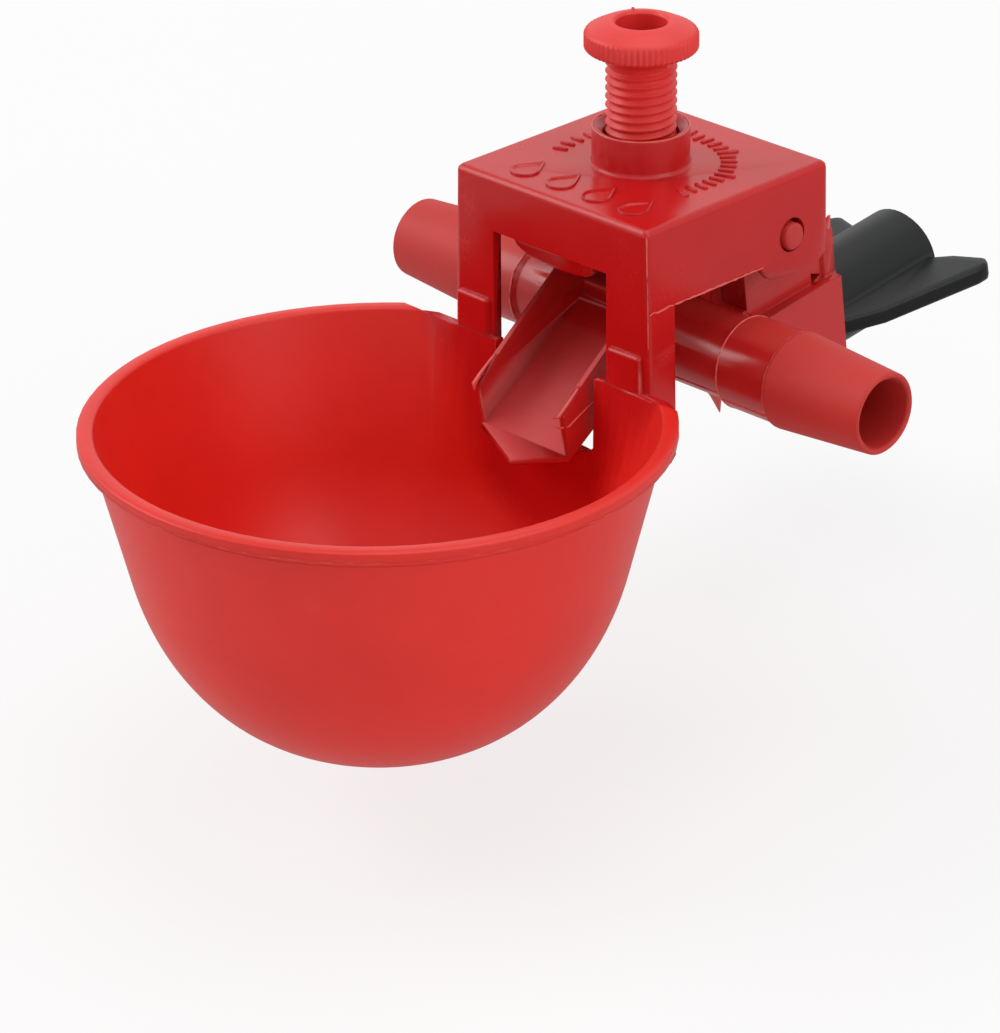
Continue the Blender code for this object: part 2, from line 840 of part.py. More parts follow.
def tee_bore():
    half = [
        (0, TEE_HALF_LENGTH + 1),
        (BORE_R + BORE_CHAMFER, TEE_HALF_LENGTH + 1),
        (BORE_R + BORE_CHAMFER, TEE_HALF_LENGTH),
        (BORE_R, TEE_HALF_LENGTH - BORE_CHAMFER),
    ]
    profile = half + [(radius, -height) for radius, height in reversed(half)]
    return turned("tee_bore", profile, axis="X", centre=(0, -TUBE_REACH, -TUBE_DROP), steps=32)


def water_seat():
    base = -PLATFORM_DROP
    return turned(
        "water_seat",
        [
            (0, SEAT_TOP),
            (SEAT_CROWN_R - EDGE_BREAK, SEAT_TOP),
            (SEAT_CROWN_R, base + SEAT_HEIGHT),
            (SEAT_R - EDGE_BREAK, base + SEAT_HEIGHT),
            (SEAT_R, base + SEAT_HEIGHT - EDGE_BREAK),
            (SEAT_R, base - LAP),
            (0, base - LAP),
        ],
        centre=(0, -SCREW_REACH, 0),
        steps=SMALL_TURN_STEPS,
    )


def orifice():
    return turned(
        "orifice",
        [(0, SEAT_TOP + 1), (ORIFICE_R, SEAT_TOP + 1), (ORIFICE_R, -TUBE_DROP), (0, -TUBE_DROP)],
        centre=(0, -SCREW_REACH, 0),
        steps=16,
    )


def chamber_rear_wall():
    """Cross wall between the cheeks, with a foot that saddles the tube."""
    rear = WEB_THICKNESS - CHEEK_FRONT
    foot = -TUBE_REACH + TUBE_R / 2
    return prism(
        "rear_wall",
        "X",
        [
            (STEP - CHEEK_FRONT, -CHAMBER_TOP - STEP),
            (rear - STEP, -CHAMBER_TOP - STEP),
            (rear - STEP, STEP - WEB_DROP - WEB_THICKNESS),
            (-TUBE_REACH + TUBE_R, -TUBE_DROP - SADDLE_DROP),
            (foot, -TUBE_DROP - SADDLE_DROP),
            (foot, -TUBE_DROP + SADDLE_RISE),
            (STEP - CHEEK_FRONT, -TUBE_DROP + SADDLE_RISE),
        ],
        STEP - CHEEK_HALF_WIDTH,
        CHEEK_HALF_WIDTH - STEP,
    )


def cheeks():
    """Side plates that reach up inside the cover to carry the pins, with shoulders behind for the lift stop."""
    outline = [
        (-CHEEK_FRONT, CHEEK_CHAMFER - WEB_DROP),
        (-CHEEK_FRONT, 0),
    ]
    for i in range(9):
        angle = math.pi * i / 8
        outline.append((-CHEEK_TOP_R * math.cos(angle), CHEEK_TOP_R * math.sin(angle)))
    outline += [
        (CHEEK_TOP_R, -STOP_DROP),
        (CHEEK_TOP_R + STOP_DEPTH, -STOP_DROP),
        (PLATE_FRONT + LAP, -PLATE_TOP_DROP),
        (PLATE_FRONT + LAP, -WEB_DROP - LAP),
        (CHEEK_CHAMFER - CHEEK_FRONT, -WEB_DROP - LAP),
        (CHEEK_CHAMFER - CHEEK_FRONT, -WEB_DROP),
    ]
    inner = CHEEK_HALF_WIDTH - CHEEK_THICKNESS

    def make(name):
        return prism(name, "X", outline, inner, CHEEK_HALF_WIDTH)

    return mirrored_pair("cheek", make)


def stop_shelf():
    """Shelf between the cheeks that the cover's rear wall comes down on when the empty cup is lifted."""
    half = CHEEK_HALF_WIDTH - CHEEK_THICKNESS + LAP
    top = -STOP_DROP - STEP / 2
    low = -PLATE_TOP_DROP - STEP
    return prism(
        "stop_shelf",
        "X",
        [
            (CHEEK_TOP_R - STEP, top),
            (CHEEK_TOP_R + STOP_DEPTH, top),
            (PLATE_FRONT + 2 * LAP, low),
            (PLATE_FRONT + 2 * LAP, low - WEB_THICKNESS),
            (CHEEK_TOP_R + STOP_DEPTH - LAP, top - WEB_THICKNESS),
            (CHEEK_TOP_R - STEP, top - WEB_THICKNESS),
        ],
        -half,
        half,
    )


def floor_web():
    rear = WEB_THICKNESS - CHEEK_FRONT
    return box(
        "floor_web",
        (STEP - GUSSET_HALF_WIDTH, rear - 2 * LAP, -WEB_DROP - WEB_THICKNESS),
        (GUSSET_HALF_WIDTH - STEP, PLATE_FRONT + LAP / 2, -WEB_DROP),
    )


def gussets():
    """Outer triangles from the tube's rear down to the foot of the plate."""
    front = -TUBE_REACH + TUBE_R / 2
    low = -WEB_DROP - WEB_THICKNESS - STEP
    rear = PLATE_REAR - STEP
    outline = [
        (front, -WEB_DROP - STEP),
        (rear, -WEB_DROP - STEP),
        (rear, -GUSSET_TIP_DROP),
        (rear - GUSSET_TIP, -GUSSET_TIP_DROP),
        (-CHEEK_FRONT, low),
        (front, low),
    ]
    inner = GUSSET_HALF_WIDTH - GUSSET_THICKNESS

    def make(name):
        return prism(name, "X", outline, inner, GUSSET_HALF_WIDTH)

    return mirrored_pair("gusset", make)


def mounting_plate():
    wide = GUSSET_HALF_WIDTH - GUSSET_THICKNESS / 2
    return prism(
        "plate",
        "Y",
        [
            (-wide, -PLATE_BOTTOM_DROP),
            (wide, -PLATE_BOTTOM_DROP),
            (wide, -WEB_DROP - LAP),
            (PLATE_HALF_WIDTH, -WEB_DROP + LAP),
            (PLATE_HALF_WIDTH, -PLATE_TOP_DROP),
            (-PLATE_HALF_WIDTH, -PLATE_TOP_DROP),
            (-PLATE_HALF_WIDTH, -WEB_DROP + LAP),
            (-wide, -WEB_DROP - LAP),
        ],
        PLATE_FRONT,
        PLATE_REAR,
    )


def stud():
    return turned(
        "stud",
        [
            (0, PLATE_REAR + STUD_LENGTH),
            (STUD_R - STUD_CHAMFER, PLATE_REAR + STUD_LENGTH),
            (STUD_R, PLATE_REAR + STUD_LENGTH - STUD_CHAMFER),
            (STUD_R, PLATE_FRONT + LAP),
            (0, PLATE_FRONT + LAP),
        ],
        axis="Y",
        centre=(0, 0, -STUD_DROP),
        steps=SMALL_TURN_STEPS,
    )


def locating_lug():
    """Two-fingered lug above the stud, which goes between the cage's wires and keeps the cup upright."""
    root = PLATE_REAR - LAP
    tip = PLATE_REAR + LUG_LENGTH
    upper = -LUG_TOP_DROP - LUG_UPPER
    lower = upper - LUG_GAP
    return prism(
        "lug",
        "X",
        [
            (root, -LUG_TOP_DROP),
            (tip - LUG_CHAMFER, -LUG_TOP_DROP),
            (tip, -LUG_TOP_DROP - LUG_CHAMFER),
            (tip, upper),
            (PLATE_REAR + LUG_ROOT, upper),
            (PLATE_REAR + LUG_ROOT, lower),
            (tip, lower),
            (tip, lower - LUG_LOWER + LUG_CHAMFER),
            (tip - LUG_CHAMFER, lower - LUG_LOWER),
            (root, lower - LUG_LOWER),
        ],
        -LUG_THICKNESS / 2,
        LUG_THICKNESS / 2,
    )


def pivot_pins():
    """Stub pins with shoulders, which centre the cover between the cheeks."""
    shoulder = COVER_INNER_HALF - SEAT_GAP
    tip = COVER_HALF_WIDTH + PIN_PROUD
    root = CHEEK_HALF_WIDTH - LAP

    def make(name):
        return turned(
            name,
            [
                (0, tip),
                (PIN_R - PIN_CHAMFER, tip),
                (PIN_R, tip - PIN_CHAMFER),
                (PIN_R, shoulder),
                (SHOULDER_R, shoulder),
                (SHOULDER_R, root),
                (0, root),
            ],
            axis="X",
            steps=SMALL_TURN_STEPS,
        )

    return mirrored_pair("pin", make)


def valve_body():
    made = chamber_and_chute()
    combined(made, "UNION", [tee(), chamber_rear_wall(), water_seat(), floor_web()])
    combined(made, "UNION", [*cheeks(), stop_shelf(), *gussets(), mounting_plate()])
    combined(made, "UNION", [stud(), locating_lug(), *pivot_pins()])
    return combined(made, "DIFFERENCE", [tee_bore(), orifice()])


# Wing nut


def wing_nut():
    """Long barrel with two flat wings that flare towards its far end, at rest a few degrees off level."""
    end = NUT_FRONT + NUT_LENGTH
    bore = STUD_R + SLIDE_GAP
    made = turned(
        "barrel",
        [
            (bore + NUT_EDGE, NUT_FRONT),
            (bore, NUT_FRONT + NUT_EDGE),
            (bore, end - NUT_EDGE),
            (bore + NUT_EDGE, end),
            (NUT_R - NUT_EDGE, end),
            (NUT_R, end - NUT_EDGE),
            (NUT_R, NUT_FRONT + NUT_EDGE),
            (NUT_R - NUT_EDGE, NUT_FRONT),
        ],
        axis="Y",
        centre=(0, 0, -STUD_DROP),
    )
    root = (bore + NUT_R) / 2
    half = WING_THICKNESS / 2

    def wing(name):
        return rounded(
            prism(
                name,
                "Z",
                [
                    (root, NUT_FRONT + WING_START),
                    (NUT_R, NUT_FRONT + WING_START),
                    (WING_MID_SPAN, NUT_FRONT + WING_MID),
                    (WING_SPAN, NUT_FRONT + WING_TIP_START),
                    (WING_SPAN, end + WING_OVERHANG * 0.4),
                    (WING_SPAN - WING_OVERHANG * 0.6, end + WING_OVERHANG),
                    (NUT_R + WING_OVERHANG, end + WING_OVERHANG * 0.3),
                    (NUT_R, end - WING_OVERHANG * 0.5),
                    (root, end - WING_OVERHANG * 0.5),
                ],
                -STUD_DROP - half,
                half - STUD_DROP,
            ),
            WING_EDGE,
            2,
        )

    combined(made, "UNION", mirrored_pair("wing", wing))
    stud_line = Matrix.Translation((0, 0, -STUD_DROP))
    roll = Matrix.Rotation(-math.radians(NUT_ROLL_DEG), 4, "Y")
    made.matrix_world = stud_line @ roll @ stud_line.inverted()
    return baked(made)


clear_scene()
PIECES = new_collection("poultry_drinking_cup")
HELPERS = new_collection("helpers")
red = material("red_moulding", RED, 0.25)
pivot = empty("pivot", (0, -PLATE_REAR * MM, STUD_DROP * MM))
tilt = empty("tilt", (0, 0, 0), pivot, REST_LIFT)
screw_axis = (0, -SCREW_REACH * MM, 0)
screw_line = empty("screw_line", screw_axis, tilt)
seat_line = empty("seat_line", screw_axis, pivot)
node(valve_body(), "valve_body", red, pivot)
node(cup_frame(), "cup_frame", material("cup_red", RED, 0.3), tilt)
node(
    adjusting_screw(),
    "adjusting_screw",
    material("screw_red", LIGHT_RED, 0.35),
    screw_line,
    (0, 0, BOSS_TOP),
)
node(
    valve_pad(),
    "valve_pad",
    material("rubber_black", RUBBER_BLACK, 0.7),
    screw_line,
    (0, 0, PAD_BOTTOM),
)
node(
    return_spring(),
    "return_spring",
    material("steel", STEEL, 0.3, 1.0),
    seat_line,
    (0, 0, -PLATFORM_DROP),
)
node(
    wing_nut(),
    "wing_nut",
    material("nut_black", NUT_BLACK, 0.45),
    pivot,
    (0, NUT_FRONT, -STUD_DROP),
)
bpy.data.collections.remove(HELPERS)
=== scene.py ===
"""Finishes, thread, relief, flash and studio for the tilting poultry drinking cup."""

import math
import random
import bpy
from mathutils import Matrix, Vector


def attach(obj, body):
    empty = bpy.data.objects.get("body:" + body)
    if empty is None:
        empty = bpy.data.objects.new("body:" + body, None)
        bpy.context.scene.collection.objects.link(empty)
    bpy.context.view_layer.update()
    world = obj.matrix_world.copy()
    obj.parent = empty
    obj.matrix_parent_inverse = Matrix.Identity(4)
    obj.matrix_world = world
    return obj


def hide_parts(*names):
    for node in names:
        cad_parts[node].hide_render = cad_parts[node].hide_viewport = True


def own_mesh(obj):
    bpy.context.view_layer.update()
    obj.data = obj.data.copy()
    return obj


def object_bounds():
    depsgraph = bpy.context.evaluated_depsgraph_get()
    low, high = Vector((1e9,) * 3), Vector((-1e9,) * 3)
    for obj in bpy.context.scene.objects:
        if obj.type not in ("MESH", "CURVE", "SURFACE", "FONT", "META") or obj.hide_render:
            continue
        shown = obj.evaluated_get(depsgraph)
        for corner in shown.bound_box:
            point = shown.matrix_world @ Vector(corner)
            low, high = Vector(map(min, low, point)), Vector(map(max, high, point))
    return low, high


bl_info = {
    "name": "Poultry Drinking Cup",
    "version": (1, 0, 0),
    "blender": (4, 5, 0),
    "location": "3D View > Sidebar > Drinking Cup",
    "description": "Dresses the packed cup with its thread, relief, flash and plastics",
    "category": "Object",
}

import bmesh
import bpy
from bpy.props import FloatProperty, FloatVectorProperty, IntProperty, PointerProperty
from mathutils import Matrix, Vector
from mathutils.geometry import interpolate_bezier

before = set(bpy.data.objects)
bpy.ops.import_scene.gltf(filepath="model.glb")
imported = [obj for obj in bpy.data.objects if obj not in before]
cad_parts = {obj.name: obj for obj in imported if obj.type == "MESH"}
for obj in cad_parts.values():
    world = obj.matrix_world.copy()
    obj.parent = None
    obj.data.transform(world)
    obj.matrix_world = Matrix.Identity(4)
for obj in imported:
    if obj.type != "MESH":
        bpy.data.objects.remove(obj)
cad_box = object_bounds()

MM = 0.001
PIN = Vector((0.0, -0.013, 0.027))
LIFT = math.radians(7.26)

# Plastic, alike on every moulding

CLOUD_SCALE = 60.0
CLOUD_RANGE = (0.3, 0.7)
SHADE_RANGE = (0.95, 1.04)
GLOSSIER = 0.04
DULLER = 0.05
GRAIN_SCALE = 900.0
GRAIN_SHARE = 0.3
GRAIN_HEIGHT = 0.00003
SCUFF_SCALE = 90.0
SCUFF_STRETCH = (1.0, 0.15, 1.0)
SCUFF_THRESHOLD = 0.62
SCUFF_CONTRAST = 9.0
SCUFF_ROUGHNESS = 0.12
SCUFF_COLOUR = 0.25
PLASTIC_IOR = 1.49

# Raised marks, in degrees from the right

LEFT_TICKS = (160, 170, 180, 190, 200)

# Flash, in millimetres from the pins, with the radii of its lines as shares of its thickness

TUBE_Y = -12.2
TUBE_Z = -14.0
PARTING_SIDE = (-0.877, -0.48)
PARTING_LINES = ((9.6, 19.6, 6.05), (20.3, 28.7, 6.7))
PARTING_STEP = 0.9
PARTING_SHARES = (0.8, 1.3)
PARTING_SWAY = 0.05
COVER_STEP = 0.7
TUBE_RING_SIDES = 72
COLLAR_RING_SIDES = 96
LIP_RING_SIDES = 200
RING_UNEVENNESS = 0.45
TUBE_RINGS = ((6.65, 20.1), (6.9, 28.95))
BODY_THREADS = (
    (
        "left_curl",
        ((-8.1, -30.5, -10.6), (-8.3, -34.5, -12.4), (-8.4, -36.6, -13.7))
        + ((-8.6, -37.9, -14.9), (-8.5, -38.0, -15.7)),
        (0.7, 1.5, 2.0, 3.0, 1.4),
    ),
    (
        "right_curl",
        ((8.1, -30.5, -10.3), (8.1, -34.2, -12.3), (8.0, -36.4, -13.8))
        + ((7.8, -37.7, -14.9), (7.1, -38.1, -15.1)),
        (0.6, 1.2, 1.7, 2.0, 0.9),
    ),
    (
        "right_fold",
        ((8.5, -31.5, -15.0), (8.5, -34.5, -15.9), (8.4, -36.6, -16.7))
        + ((8.0, -37.9, -16.5), (7.0, -38.1, -16.3)),
        (0.5, 1.0, 1.8, 1.6, 0.7),
    ),
    ("thorn", ((12.8, -12.2, -19.6), (13.2, -12.2, -21.4), (13.6, -12.2, -24.2)), (13.0, 7.0, 0.6)),
    ("shard", ((13.3, 12.3, -6.2), (13.6, 12.4, -4.9), (14.1, 12.5, -3.6)), (5.0, 4.5, 1.5)),
)
COVER_LINES = (
    ((18.75, -29.0, -2.9), (18.75, -24.2, -2.9), 0.8, 1.5, 0.15),
    ((18.62, -23.9, -2.95), (18.62, -6.0, -2.95), 0.7, 1.7, 0.06),
    ((18.22, -29.1, 8.4), (18.35, -29.1, 2.5), 0.5, 1.1, 0.0),
    ((18.45, -29.1, 1.8), (18.62, -29.1, -8.0), 0.3, 0.7, 0.0),
)

# Studio, in metres and degrees

LAMP_AIM = Vector((0, -0.05, 0.01))
LAMPS = (
    ("key", (-1.0, -0.6, 0.9), 0.9, 8),
    ("side", (1.2, 0.1, 0.6), 0.8, 4),
    ("top", (0.1, 0.3, 1.3), 1.0, 5),
)
AZIMUTH = math.radians(47.81)
ELEVATION = math.radians(29.40)
ROLL = math.radians(-6.36)
TARGET = Vector((0.00016, -0.05429, 0.01407))
DISTANCE = 0.72445
SHIFT_X = 0.0002
SHIFT_Y = -0.1165


# Places


def cup_frame_matrix():
    """From the cup's own upright frame, in millimetres from the pins, to the lifted cup at rest."""
    return Matrix.Translation(PIN) @ Matrix.Rotation(-LIFT, 4, "X") @ Matrix.Scale(MM, 4)


def body_frame_matrix():
    return Matrix.Translation(PIN) @ Matrix.Scale(MM, 4)


# Modelling helpers


def start_fresh():
    if bpy.context.object and bpy.context.object.mode != "OBJECT":
        bpy.ops.object.mode_set(mode="OBJECT")
    bpy.ops.object.select_all(action="DESELECT")


def take(piece):
    """Makes a piece the only selected one, and the active one."""
    start_fresh()
    piece.select_set(True)
    bpy.context.view_layer.objects.active = piece


def give_name(piece, name):
    piece.name = name
    piece.data.name = name


def edit_all():
    """Enters edit mode with the whole mesh selected."""
    bpy.ops.object.mode_set(mode="EDIT")
    bpy.ops.mesh.select_all(action="SELECT")


def face_outward():
    """Turns every face outward and leaves edit mode."""
    bpy.ops.mesh.select_all(action="SELECT")
    bpy.ops.mesh.normals_make_consistent(inside=False)
    bpy.ops.object.mode_set(mode="OBJECT")


def fix_place():
    """Writes the object's place, turn and scale into its mesh."""
    bpy.ops.object.transform_apply(location=True, rotation=True, scale=True)


def edit_vertices(test):
    """Selects, in edit mode, only the vertices that pass the test."""
    bpy.ops.object.mode_set(mode="EDIT")
    bpy.context.tool_settings.mesh_select_mode = (True, False, False)
    mesh = bmesh.from_edit_mesh(bpy.context.object.data)
    for vertex in mesh.verts:
        vertex.select_set(False)
    for vertex in mesh.verts:
        if test(vertex.co):
            vertex.select_set(True)
    mesh.select_flush(True)
    bmesh.update_edit_mesh(bpy.context.object.data)


def turned(name, profile, sides):
    """A circle extruded and scaled through (radius, height) pairs, closed at both ends."""
    start_fresh()
    radius, height = profile[0]
    bpy.ops.mesh.primitive_circle_add(
        vertices=sides, radius=radius, fill_type="NGON", location=(0, 0, 0)
    )
    piece = bpy.context.object
    give_name(piece, name)
    edit_all()
    bpy.ops.transform.translate(value=(0, 0, height))
    for new_radius, new_height in profile[1:]:
        bpy.ops.mesh.extrude_region_move(
            TRANSFORM_OT_translate={"value": (0, 0, new_height - height)}
        )
        share = new_radius / radius
        bpy.ops.transform.resize(value=(share, share, 1), center_override=(0, 0, new_height))
        radius, height = new_radius, new_height
    face_outward()
    return piece


def apply_modifiers(piece):
    bpy.context.view_layer.objects.active = piece
    for modifier in list(piece.modifiers):
        bpy.ops.object.modifier_apply(modifier=modifier.name)


def settle(piece, matrix, body, finish, angle=35):
    """Places a finished piece, fixes its place into its mesh and hands it to its body."""
    take(piece)
    piece.matrix_world = matrix @ piece.matrix_world
    fix_place()
    bpy.ops.object.shade_smooth_by_angle(angle=math.radians(angle))
    piece.data.materials.clear()
    piece.data.materials.append(bpy.data.materials[finish])
    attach(piece, body)
    return piece


def drawn(name, points, radii, sides=6):
    """A thread of plastic: a small circle extruded from point to point and thinned or swelled at each."""
    start_fresh()
    places = [Vector(point) for point in points]
    heading = (places[1] - places[0]).to_track_quat("Z", "Y").to_euler()
    bpy.ops.mesh.primitive_circle_add(
        vertices=sides, radius=radii[0], fill_type="NGON", location=places[0], rotation=heading
    )
    piece = bpy.context.object
    give_name(piece, name)
    fix_place()
    edit_all()
    for before, after, thick, thin in zip(places, places[1:], radii, radii[1:]):
        bpy.ops.mesh.extrude_region_move(TRANSFORM_OT_translate={"value": after - before})
        share = thin / thick
        bpy.ops.transform.resize(value=(share, share, share), center_override=after)
    face_outward()
    return piece


def ragged(start, end, step, chance, low, high, sway):
    """Points and radii of a ragged line from start to end."""
    start, end = Vector(start), Vector(end)
    count = max(int((end - start).length / step), 2)
    points = []
    radii = []
    for i in range(count + 1):
        point = start.lerp(end, i / count)
        points.append(point + Vector((0, 0, chance.uniform(-sway, sway))))
        radii.append(chance.uniform(low, high))
    radii[0] = radii[-1] = low
    return points, radii


def thread_ridge(name, radius, depth, pitch, low, high, sides=48):
    """One coil of a pointed ridge, wound up the Z axis by a Screw modifier."""
    start_fresh()
    bpy.ops.mesh.primitive_circle_add(
        vertices=4, radius=depth, location=(radius, 0, low), rotation=(math.pi / 2, 0, 0)
    )
    ridge = bpy.context.object
    ridge.name = name
    fix_place()
    screw = ridge.modifiers.new("Thread", "SCREW")
    screw.screw_offset = pitch
    screw.iterations = int((high - low) / pitch)
    screw.steps = sides
    screw.render_steps = sides
    apply_modifiers(ridge)
    edit_all()
    bpy.ops.mesh.fill_holes(sides=6)
    bpy.ops.mesh.normals_make_consistent(inside=False)
    bpy.ops.object.mode_set(mode="OBJECT")
    return ridge


def join(pieces):
    start_fresh()
    for piece in pieces:
        piece.select_set(True)
    bpy.context.view_layer.objects.active = pieces[0]
    bpy.ops.object.join()
    return pieces[0]


def merged(node, name):
    """A copy of a packed moulding with its loose triangles merged, to be shaded smooth."""
    take(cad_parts[node])
    bpy.ops.object.duplicate()
    piece = bpy.context.object
    give_name(piece, name)
    edit_all()
    bpy.ops.mesh.remove_doubles(threshold=2e-6)
    bpy.ops.object.mode_set(mode="OBJECT")
    return piece


# Shader groups


def new_group(name, inputs, outputs):
    """A shader group with its two ends and its texture coordinates."""
    group = bpy.data.node_groups.new(name, "ShaderNodeTree")
    for label, kind, value in inputs:
        socket = group.interface.new_socket(label, in_out="INPUT", socket_type=kind)
        socket.default_value = value
    for label, kind in outputs:
        group.interface.new_socket(label, in_out="OUTPUT", socket_type=kind)
    source = group.nodes.new("NodeGroupInput")
    result = group.nodes.new("NodeGroupOutput")
    place = group.nodes.new("ShaderNodeTexCoord")
    return group, source, result, place


def math_node(nodes, links, operation, first, second, clamp=False):
    made = nodes.new("ShaderNodeMath")
    made.operation = operation
    made.use_clamp = clamp
    for index, value in enumerate((first, second)):
        if isinstance(value, (int, float)):
            made.inputs[index].default_value = value
        elif value is not None:
            links.new(value, made.inputs[index])
    return made.outputs[0]


def map_range(nodes, links, value, before, after):
    made = nodes.new("ShaderNodeMapRange")
    made.inputs["From Min"].default_value = before[0]
    made.inputs["From Max"].default_value = before[1]
    made.inputs["To Min"].default_value = after[0]
    made.inputs["To Max"].default_value = after[1]
    links.new(value, made.inputs["Value"])
    return made.outputs["Result"]


def mottle_group():
    """Slow cloudiness of moulded plastic, and its fine grain as a height."""
    name = "Moulded Mottle"
    if name in bpy.data.node_groups:
        return bpy.data.node_groups[name]
    group, source, result, place = new_group(
        name,
        [
            ("Cloud Scale", "NodeSocketFloat", CLOUD_SCALE),
            ("Grain Scale", "NodeSocketFloat", GRAIN_SCALE),
            ("Grain Share", "NodeSocketFloat", GRAIN_SHARE),
        ],
        [("Cloud", "NodeSocketFloat"), ("Height", "NodeSocketFloat")],
    )
    nodes, links = group.nodes, group.links
    cloud = nodes.new("ShaderNodeTexNoise")
    cloud.inputs["Detail"].default_value = 4
    cloud.inputs["Roughness"].default_value = 0.55
    grain = nodes.new("ShaderNodeTexNoise")
    grain.inputs["Detail"].default_value = 3
    links.new(place.outputs["Object"], cloud.inputs["Vector"])
    links.new(place.outputs["Object"], grain.inputs["Vector"])
    links.new(source.outputs["Cloud Scale"], cloud.inputs["Scale"])
    links.new(source.outputs["Grain Scale"], grain.inputs["Scale"])
    fine = math_node(nodes, links, "MULTIPLY", grain.outputs["Fac"], source.outputs["Grain Share"])
    height = math_node(nodes, links, "ADD", cloud.outputs["Fac"], fine)
    links.new(cloud.outputs["Fac"], result.inputs["Cloud"])
    links.new(height, result.inputs["Height"])
    return group


def scuff_group():
    """Fine stretched scuffs as a mask."""
    name = "Handling Scuffs"
    if name in bpy.data.node_groups:
        return bpy.data.node_groups[name]
    group, source, result, place = new_group(
        name,
        [
            ("Scale", "NodeSocketFloat", SCUFF_SCALE),
            ("Stretch", "NodeSocketVector", SCUFF_STRETCH),
            ("Threshold", "NodeSocketFloat", SCUFF_THRESHOLD),
        ],
        [("Scuff", "NodeSocketFloat")],
    )
    nodes, links = group.nodes, group.links
    stretch = nodes.new("ShaderNodeMapping")
    noise = nodes.new("ShaderNodeTexNoise")
    noise.inputs["Detail"].default_value = 6
    noise.inputs["Roughness"].default_value = 0.7
    links.new(place.outputs["Object"], stretch.inputs["Vector"])
    links.new(source.outputs["Stretch"], stretch.inputs["Scale"])
    links.new(stretch.outputs["Vector"], noise.inputs["Vector"])
    links.new(source.outputs["Scale"], noise.inputs["Scale"])
    over = math_node(nodes, links, "SUBTRACT", noise.outputs["Fac"], source.outputs["Threshold"])
    mask = math_node(nodes, links, "MULTIPLY", over, SCUFF_CONTRAST, clamp=True)
    links.new(mask, result.inputs["Scuff"])
    return group


def zone_group():
    """Mask that rises from 0 to 1 along a direction, on one side or on both sides of the middle."""
    name = "Moulding Zone"
    if name in bpy.data.node_groups:
        return bpy.data.node_groups[name]
    group, source, result, place = new_group(
        name,
        [
            ("Direction", "NodeSocketVector", (0.0, 0.0, 1.0)),
            ("Both Sides", "NodeSocketFloat", 0.0),
            ("Start", "NodeSocketFloat", 0.0),
            ("End", "NodeSocketFloat", 0.01),
        ],
        [("Zone", "NodeSocketFloat")],
    )
    nodes, links = group.nodes, group.links
    along = nodes.new("ShaderNodeVectorMath")
    along.operation = "DOT_PRODUCT"
    links.new(place.outputs["Object"], along.inputs[0])
    links.new(source.outputs["Direction"], along.inputs[1])
    size = math_node(nodes, links, "ABSOLUTE", along.outputs["Value"], None)
    side = nodes.new("ShaderNodeMix")
    links.new(source.outputs["Both Sides"], side.inputs["Factor"])
    links.new(along.outputs["Value"], side.inputs["A"])
    links.new(size, side.inputs["B"])
    ramp = nodes.new("ShaderNodeMapRange")
    ramp.interpolation_type = "SMOOTHSTEP"
    links.new(side.outputs["Result"], ramp.inputs["Value"])
    links.new(source.outputs["Start"], ramp.inputs["From Min"])
    links.new(source.outputs["End"], ramp.inputs["From Max"])
    links.new(ramp.outputs["Result"], result.inputs["Zone"])
    return group


